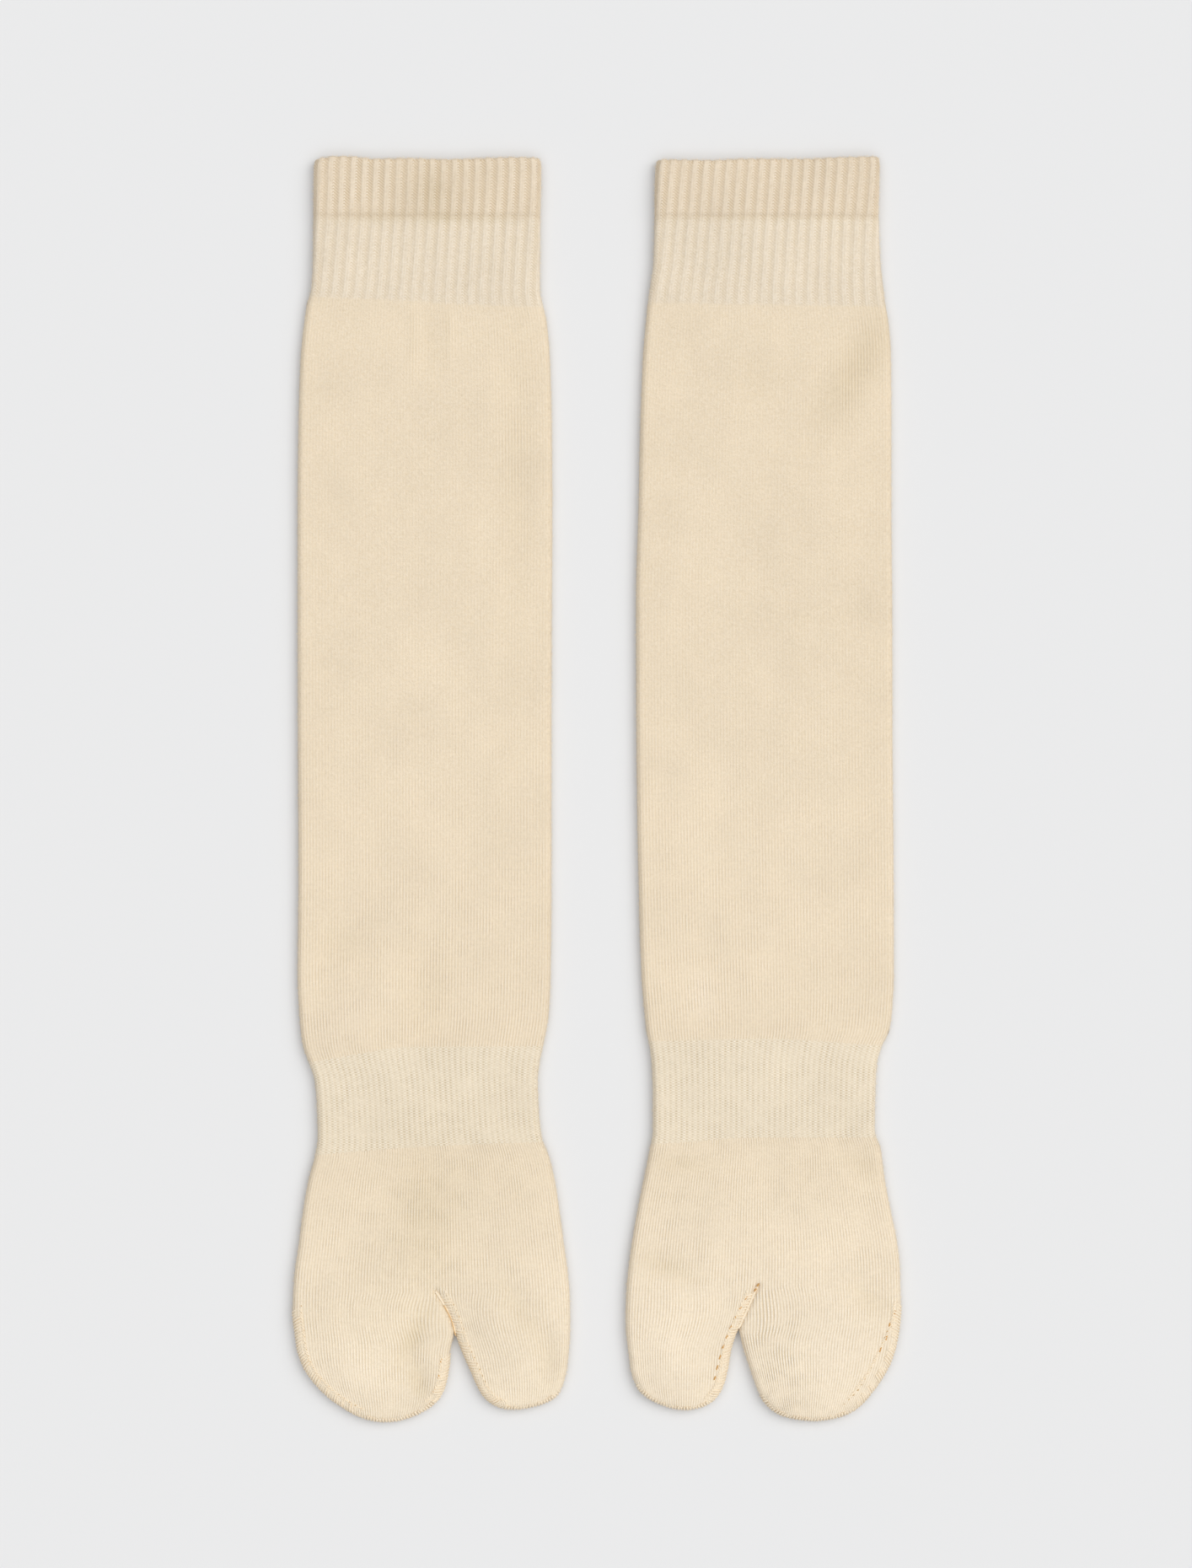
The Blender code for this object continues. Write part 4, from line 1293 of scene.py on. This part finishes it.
@dataclass(frozen=True)
class KnitFinish:
    """Undyed cotton plain knit, lightly brushed: soft and matt, with warm shade between its stitches."""

    name: str = "brushed cotton knit"
    leg: Tone = Tone("#D9C4A2", "#EEE1CD")
    cuff: Tone = Tone("#CAB592", "#F3E9DA")
    welt: Tone = Tone("#C4AC88", "#F0E4D2")
    band: Tone = Tone("#CFBC9C", "#F6ECDA")
    toes: Tone = Tone("#DAC5A2", "#F8EDDC")
    clouds: Mottle = Mottle(38.0, 4.0, 0.6, 0.3, 0.96, 1.03)
    specks: Mottle = Mottle(900.0, 2.0, 0.7, 0.3, 0.96, 1.04)
    brushing: Mottle = Mottle(170.0, 3.0, 0.6, 0.35, 0.35, 1.15)
    rib_wear: Mottle = Mottle(95.0, 4.0, 0.65, 0.33, 0.4, 1.1)
    swelling: Mottle = Mottle(1.1, 2.0, 0.6, 0.3, 0.74, 1.14)
    # How the painted shade along the folds shifts the colour: darker, most of all in blue.
    fold_shading: tuple[float, float, float] = (-0.088, -0.1, -0.14)
    roughness: float = 0.92
    sheen: float = 0.25
    stitch_depth: float = 0.22
    chain: float = 1.1
    valley: float = 2.1

    def material(self, name: str) -> bpy.types.Material:
        """Build the finish for one sock."""
        material, shader = matt_finish(name, self.roughness)
        add = partial(add_node, material.node_tree)
        place = add("ShaderNodeTexCoord", out="Object")
        columns, courses, _ = add(SPLIT, (add("ShaderNodeUVMap", uv_map="knit"),)).node.outputs
        zones = self.zones(add, courses)
        height = self.stitches(add, place, columns, courses, zones)
        fibres = add(NOISE, {"Vector": place, "Scale": 2600.0, "Detail": 2.0, "Roughness": 0.6})
        rough = add(MATH, (fibres, 0.45, height), operation="MULTIPLY_ADD")
        bump = add("ShaderNodeBump", {"Height": rough, "Distance": self.stitch_depth * MM, "Strength": 1.0})
        material.node_tree.links.new(self.colour(add, place, height, zones), shader["Base Color"])
        material.node_tree.links.new(bump, shader["Normal"])
        shader["Sheen Weight"].default_value = self.sheen
        shader["Sheen Roughness"].default_value = 0.5
        shader["Sheen Tint"].default_value = linear("#FFF6E8")
        return material

    def zones(self, add: Adder, courses: Socket) -> dict[str, Socket]:
        """How much of each zone is here, from 0 to 1, and how clear the ribs and the stitches are."""
        past = add("ShaderNodeAttribute", out="Vector", attribute_name="zones")
        cuff_end, band_start, band_end = add(SPLIT, (past,)).node.outputs
        spans = {
            "cuff": (cuff_end, 0.8, -0.8),
            "welt": (courses, (WELT_DEPTH + 2.0) / COURSE, (WELT_DEPTH - 1.0) / COURSE),
            "toes": (courses, TOE_TONE_START / COURSE, TOE_TONE_FULL / COURSE),
            "band started": (band_start, -0.4, 0.4),
            "band not ended": (band_end, 0.4, -0.4),
        }
        zones = {
            zone: add(RANGE, {"Value": at, "From Min": none, "From Max": full}, **SMOOTH)
            for zone, (at, none, full) in spans.items()
        }
        zones["band"] = add(MATH, (zones["band started"], zones["band not ended"]), operation="MULTIPLY")
        zones["foot"] = add(MATH, (band_end, 0.0), operation="GREATER_THAN")
        fading = {"From Min": -38.0, "From Max": -24.0, "To Min": 1.0, "To Max": 0.6}
        zones["ribbed"] = add(RANGE, {"Value": cuff_end} | fading)
        zones["crisp"] = add("ShaderNodeAttribute", out="Fac", attribute_name="crisp")
        return zones

    def stitches(
        self, add: Adder, place: Socket, columns: Socket, courses: Socket, zones: dict[str, Socket]
    ) -> Socket:
        """Height of the stitches, from 0 in the gaps to 1: plain knit, ribs and open band."""
        finer = FOOT_WALES_ACROSS / WALES_ACROSS - 1.0
        scale = add(MATH, (zones["foot"], finer, 1.0), operation="MULTIPLY_ADD")
        column = add(MATH, (columns, scale), operation="MULTIPLY")
        from_gap = add(MATH, (column, 0.5), operation="PINGPONG")
        slanted = add(MATH, (from_gap, 1.3, courses), operation="MULTIPLY_ADD")
        from_stitch = add(MATH, (slanted, 0.5), operation="PINGPONG")
        rounded = add(RANGE, {"Value": from_gap, "From Min": 0.02, "From Max": 0.38}, **SMOOTH)
        bead = add(MATH, (from_stitch, 0.6, 0.7), operation="MULTIPLY_ADD")
        beads = add(MATH, (rounded, bead), operation="MULTIPLY")
        # The yarn swells and thins in streaks a few courses long.
        along = add(MATH, (courses, 0.3), operation="MULTIPLY")
        streaks = self.swelling.level(add, add("ShaderNodeCombineXYZ", (column, along)))
        knit = add(MATH, (beads, streaks), operation="MULTIPLY")
        # Brushing hides the stitches under fuzz, less where the cloth is crisp.
        brushed = self.brushing.level(add, place)
        crisp = add(MATH, (zones["crisp"], brushed), operation="MULTIPLY")
        fibres = add(NOISE, {"Vector": place, "Scale": 1300.0, "Detail": 3.0, "Roughness": 0.7})
        softer = add(MATH, (1.25, zones["crisp"]), operation="SUBTRACT")
        above = add(MATH, (fibres, 0.5), operation="SUBTRACT")
        fuzz = add(MATH, (above, softer, 0.5), operation="MULTIPLY_ADD")
        plain = add(MIX, {0: crisp, 2: fuzz, 3: knit})
        clear = add(MATH, (zones["ribbed"], self.rib_wear.level(add, place)), operation="MULTIPLY")
        cuff = add(MIX, {0: clear, 2: plain, 3: self.ribs(add, columns, courses, plain)})
        height = add(MIX, {0: zones["cuff"], 2: plain, 3: cuff})
        band = self.open_net(add, columns, courses, fuzz, brushed)
        return add(MIX, {0: zones["band"], 2: height, 3: band})

    def open_net(self, add: Adder, columns: Socket, courses: Socket, fuzz: Socket, brushed: Socket) -> Socket:
        """Height of the band's tuck mesh: beads on every stitch column, staggered by half a course."""
        column_turn = add(MATH, (columns, math.pi), operation="MULTIPLY")
        column_wave = add(MATH, (column_turn,), operation="COSINE")
        course_turn = add(MATH, (courses, 2 * math.pi), operation="MULTIPLY")
        course_wave = add(MATH, (course_turn,), operation="COSINE")
        beads = add(MATH, (column_wave, course_wave), operation="MULTIPLY")
        column_ribs = add(MATH, (column_wave, 0.16, 0.46), operation="MULTIPLY_ADD")
        net = add(MATH, (beads, 0.42, column_ribs), operation="MULTIPLY_ADD")
        return add(MIX, {0: add(MATH, (brushed, 0.85), operation="MULTIPLY"), 2: fuzz, 3: net})

    def ribs(self, add: Adder, columns: Socket, courses: Socket, plain: Socket) -> Socket:
        """Height of the ribs' stitches: a chain down each rib's side, and slanted yarns across its valley."""
        half_rib = WALES_PER_RIB / 2
        from_chain = add(MATH, (columns, -self.chain), operation="ADD")
        beside = add(MATH, (from_chain, half_rib), operation="PINGPONG")
        # One slanted yarn for each of the cuff's longer courses.
        along = add(MATH, (courses, COURSE / CUFF_COURSE), operation="MULTIPLY")
        phase = add(MATH, (beside, -0.85, along), operation="MULTIPLY_ADD")
        from_gap = add(MATH, (phase, 0.5), operation="PINGPONG")
        strokes = add(RANGE, {"Value": from_gap, "From Min": 0.05, "From Max": 0.42}, **SMOOTH)
        from_middle = add(MATH, (columns, -self.chain - self.valley / 2 + 0.25), operation="ADD")
        from_valley = add(MATH, (from_middle, half_rib), operation="PINGPONG")
        rise = {"From Min": self.valley / 2 - 0.3, "From Max": self.valley / 2 + 0.45}
        ridge = add(RANGE, {"Value": from_valley} | rise, **SMOOTH)
        on_chain = add(RANGE, {"Value": beside, "From Min": 0.5, "From Max": 0.0, "To Max": 0.5}, **SMOOTH)
        stroke = add(MATH, (strokes, 0.34, 0.16), operation="MULTIPLY_ADD")
        in_valley = add(MATH, (strokes, on_chain, stroke), operation="MULTIPLY_ADD")
        on_ridge = add(MATH, (plain, 0.5, 0.38), operation="MULTIPLY_ADD")
        return add(MIX, {0: ridge, 2: in_valley, 3: on_ridge})

    def colour(self, add: Adder, place: Socket, height: Socket, zones: dict[str, Socket]) -> Socket:
        """Colour of the yarn: light on the stitches, with painted shade making it warm and deeper in the gaps
        and rib valleys, changing by zone.
        """
        tones = []
        for side in range(len(Tone._fields)):
            tone = linear(self.leg[side])
            for zone in ("cuff", "welt", "band", "toes"):
                colours = {6: tone, 7: linear(getattr(self, zone)[side])}
                tone = add(MIX, {0: zones[zone]} | colours, out=2, data_type="RGBA")
            tones.append(tone)
        # The stitches' height mixes the tones: painted shade, deepest in the gaps and rib valleys, and the
        # yarn's light colour on the stitch tops.
        knit = add(MIX, {0: height, 6: tones[0], 7: tones[1]}, out=2, data_type="RGBA")
        levels = self.clouds.level(add, place), self.specks.level(add, place)
        uneven = add(VECTOR, {0: knit, "Scale": add(MATH, levels, operation="MULTIPLY")}, operation="SCALE")
        # Painted shade along the folds and creases darkens and warms the knit's colour; where the amount is
        # below nought it is painted light.
        spots = add("ShaderNodeAttribute", out="Fac", attribute_name="fold_shading")
        fold_shading_colour_shift = add(VECTOR, {0: self.fold_shading, "Scale": spots}, operation="SCALE")
        fold_shading_scale = add(VECTOR, (fold_shading_colour_shift, (1.0, 1.0, 1.0)), operation="ADD")
        return add(VECTOR, (uneven, fold_shading_scale), operation="MULTIPLY")


@dataclass
class EdgeFuzz:
    """Loose fibre ends round a sock's edge, where the brushed cotton stands out against the light."""

    sock: KnittedSock
    fibres_per_mm: float = 8.0
    length: float = 0.65
    thickness: float = 0.075
    seed: int = 11

    def build(self, material: bpy.types.Material) -> bpy.types.Object:
        """Root the fibres round the edge and grow them."""
        roots, facing = (np.concatenate(parts) for parts in zip(self.on_outline(), self.on_mouth()))
        name = f"{self.sock.plan.node}_edge_fibres"
        mesh = bpy.data.meshes.new(name)
        mesh.from_pydata((roots * MM).tolist(), [], [])
        set_values(mesh, "facing", facing)
        sizes = {"Fibre Length": self.length * MM, "Fibre Radius": self.thickness * MM / 2}
        return made_real(add_object(name, mesh), self.tree(sizes), material, sizes)

    def on_outline(self) -> tuple[np.ndarray, np.ndarray]:
        """Roots and directions on the rounded edge of the flattened tube and its toes."""
        shape = self.sock.shape
        outline = shape.outline_out
        rng = np.random.default_rng(self.seed)
        count = int(lengths_along(outline)[-1] * self.fibres_per_mm)
        places = rng.uniform(0.0, 1.0, count)
        edge = points_along(outline, places)
        ahead = points_along(outline, np.clip(places + 2e-4, 0.0, 1.0)) - points_along(outline, places - 2e-4)
        ahead /= np.maximum(np.linalg.norm(ahead, axis=1, keepdims=True), 1e-9)
        inwards = np.stack([ahead[:, 1], -ahead[:, 0]], axis=1)
        turn = rng.uniform(-0.7, 1.25, count)
        radius = shape.ring(edge[:, 1])[2] / 2
        plan = edge + inwards * (radius * (1.0 - np.cos(turn)))[:, None]
        roots = self.sock.world(plan, radius + radius * np.sin(turn))
        facing = np.stack([-inwards[:, 0] * np.cos(turn), inwards[:, 1] * np.cos(turn), np.sin(turn)], axis=1)
        return roots, facing

    def on_mouth(self) -> tuple[np.ndarray, np.ndarray]:
        """Roots and directions along the upper lip of the mouth."""
        rng = np.random.default_rng(self.seed + 1)
        left, right, thick = (float(value) for value in self.sock.shape.ring(0.0))
        count = int((right - left) * self.fibres_per_mm * 1.5)
        turn = rng.uniform(-0.3, 1.3, count)
        reach = WELT_WALL / 2
        down = ROW_STEPS[0].from_mouth - self.sock.lip * np.cos(turn)
        plan = np.stack([rng.uniform(left + 1.0, right - 1.0, count), down], axis=1)
        roots = self.sock.world(plan, thick - reach + reach * np.sin(turn) - 0.1)
        return roots, np.stack([np.zeros(count), np.cos(turn), np.sin(turn)], axis=1)

    def tree(self, sizes: dict[str, float]) -> bpy.types.NodeTree:
        """Build the tree: one bent fibre on each root, each turned and sized a little differently."""
        tree, given = shape_tree("edge fibres", sizes)
        add = partial(add_node, tree)
        up = add("ShaderNodeCombineXYZ", {2: given["Fibre Length"]})
        middle = add(VECTOR, (up, (0.25, 0.1, 0.6)), operation="MULTIPLY")
        aside = add(VECTOR, {0: (0.55, 0.2, 0.8), "Scale": given["Fibre Length"]}, operation="SCALE")
        bend = add(
            "GeometryNodeCurveQuadraticBezier",
            {"Resolution": 3, "Start": (0.0, 0.0, 0.0), "Middle": middle, "End": aside},
        )
        section = add(CIRCLE, {"Resolution": 3, "Radius": given["Fibre Radius"]}, mode="RADIUS")
        fibre = add(SWEEP, {"Curve": bend, "Profile Curve": section})
        facing = add(NAMED, {"Name": "facing"}, data_type="FLOAT_VECTOR")
        aligned = add("FunctionNodeAlignRotationToVector", {"Vector": facing}, axis="Z")
        lean = {0: (-0.7, -0.7, -3.1), 1: (0.7, 0.7, 3.1), "Seed": 3}
        leaning = add("FunctionNodeEulerToRotation", (add(RANDOM, lean, data_type="FLOAT_VECTOR"),))
        both = {"Rotation": aligned, "Rotate By": leaning}
        turned = add("FunctionNodeRotateRotation", both, rotation_space="LOCAL")
        size = add(RANDOM, {2: 0.3, 3: 1.2, "Seed": 5}, out=1, data_type="FLOAT")
        one = {"Instance": fibre, "Rotation": turned, "Scale": size}
        grown = add(ON_POINTS, {"Points": given["Geometry"]} | one)
        end_tree(tree, grown, given["Material"])
        return tree


@dataclass(frozen=True)
class YarnFinish:
    """One strand of cotton yarn or the shade in an open stitch: matt, with a twist along its length."""

    name: str
    light: str
    deep: str

    def material(self) -> bpy.types.Material:
        """Build the finish."""
        material, shader = matt_finish(self.name, 0.9)
        add = partial(add_node, material.node_tree)
        place = add("ShaderNodeTexCoord", out="Object")
        twist = add(NOISE, {"Vector": place, "Scale": 3000.0, "Detail": 2.0})
        colours = {0: twist, 6: linear(self.deep), 7: linear(self.light)}
        bump = add("ShaderNodeBump", {"Height": twist, "Distance": 0.1 * MM})
        material.node_tree.links.new(add(MIX, colours, out=2, data_type="RGBA"), shader["Base Color"])
        material.node_tree.links.new(bump, shader["Normal"])
        return material


@dataclass(frozen=True)
class PaperSweep:
    """The plain pale paper that the socks lie on."""

    size: float = 8.0
    colour: str = "#DFDFDF"

    def build(self) -> bpy.types.Object:
        """Lay the paper."""
        half = self.size / 2
        mesh = bpy.data.meshes.new("paper_sweep")
        corners = [(-half, -half, 0.0), (half, -half, 0.0), (half, half, 0.0), (-half, half, 0.0)]
        mesh.from_pydata(corners, [], [(0, 1, 2, 3)])
        paper = add_object("paper_sweep", mesh)
        material, shader = matt_finish("matt white paper", 1.0, 0.0)
        shader["Base Color"].default_value = linear(self.colour)
        mesh.materials.append(material)
        return paper


class Lamp(NamedTuple):
    """One far, soft lamp: its strength in watts per square metre, its colour, how wide it looks from
    the socks in degrees, and the way that it shines."""

    name: str
    energy: float
    colour: str
    spread: float
    towards: tuple[float, float, float]

    def hang(self) -> None:
        """Put the lamp in the scene."""
        lamp = bpy.data.lights.new(self.name, "SUN")
        lamp.energy = self.energy
        lamp.color = linear(self.colour)[:3]
        lamp.angle = math.radians(self.spread)
        light = add_object(self.name, lamp)
        light.rotation_mode = "QUATERNION"
        light.rotation_quaternion = Vector(self.towards).to_track_quat("-Z", "Y")


@dataclass(frozen=True)
class SoftStudio:
    """One broad soft light from the upper right, a wide one overhead, and even light all round."""

    key: Lamp = Lamp("broad_key", 0.94, "#FFFCF6", 46.0, (-0.90, -0.36, -1.0))
    overhead: Lamp = Lamp("wide_overhead", 1.68, "#FCFDFF", 100.0, (-0.1, 0.0, -1.0))
    fill: float = 0.40
    fill_colour: str = "#FCFDFF"

    def build(self) -> None:
        """Set the lights and the surroundings."""
        self.key.hang()
        self.overhead.hang()
        world = bpy.data.worlds.new("even_fill")
        world.use_nodes = True
        background = world.node_tree.nodes["Background"].inputs
        background["Color"].default_value = linear(self.fill_colour)
        background["Strength"].default_value = self.fill
        bpy.context.scene.world = world
        bpy.context.scene.view_settings.view_transform = "Standard"


@dataclass(frozen=True)
class OverheadCamera:
    """A long lens straight above the pair, its picture upright with the mouths at the top."""

    lens: float = 100.0
    sensor: float = 36.0
    view_height: float = 576.6
    centre: tuple[float, float] = (-0.2, 2.0)
    cloth_height: float = 2.4

    def build(self) -> None:
        """Hang the camera and make it the scene's own."""
        eye = bpy.data.cameras.new("overhead")
        eye.lens = self.lens
        eye.sensor_width = self.sensor
        eye.clip_start = 0.05
        eye.clip_end = 50.0
        away = self.view_height * self.lens / self.sensor + self.cloth_height
        camera = add_object("overhead", eye)
        camera.location = Vector((*self.centre, away)) * MM
        bpy.context.scene.camera = camera


def dress(plan: SockPlan, yarns: dict[str, bpy.types.Material]) -> None:
    """Build one sock with its seams and attach each piece to the root body.

    Args:
        plan: the sock's plan.
        yarns: the finish of each kind of stitch or bead of painted shade, and of the loose fibres.
    """
    low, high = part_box(plan.node)
    shape = SockShape(plan)
    middle = low[0] / MM - float(shape.outline_out[:, 0].min())
    sock = KnittedSock(plan, shape, middle, high[1] / MM)
    cloth = sock.build(KnitFinish())
    trims = []
    for kind in STITCHES:
        rows = [seam for seam in SEAMS[plan.node] if seam.kind == kind]
        if rows:
            trims.append(LinkedSeams(sock, kind, rows).build(yarns[kind]))
    trims.append(EdgeFuzz(sock).build(yarns["fibre"]))
    for piece in (cloth, *trims):
        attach(piece, "root")
        log.info("%s: %d faces", piece.name, len(piece.data.polygons))
    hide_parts(plan.node)


def main() -> None:
    """Build the camera, the light and the paper, then each sock."""
    OverheadCamera().build()
    SoftStudio().build()
    paper = PaperSweep().build()
    seam_yarn = YarnFinish("cotton seam yarn", "#F8ECD8", "#E3CFAE").material()
    shade = YarnFinish("shade in an open stitch", "#DBAE72", "#C39150").material()
    # The beads of painted shade in the open stitches, in the slit and at its top take the shade finishes.
    yarns = {
        **dict.fromkeys(("overcast", "scallop", "linked", "closing"), seam_yarn),
        **dict.fromkeys(("open_stitch_shade", "slit_top_shade"), shade),
        "pinhole_shade": YarnFinish("faint shade in a small stitch", "#D2B48A", "#B79868").material(),
        "slit_shade_cord": YarnFinish("warm shade in the slit", "#E6C494", "#D2A76E").material(),
        "fibre": YarnFinish("loose cotton fibre", "#FAF1E2", "#EBDCC3").material(),
    }
    for plan in (RIGHT_SOCK, LEFT_SOCK):
        dress(plan, yarns)
    log.info("sizes written")


if __name__ == "__main__":
    main()
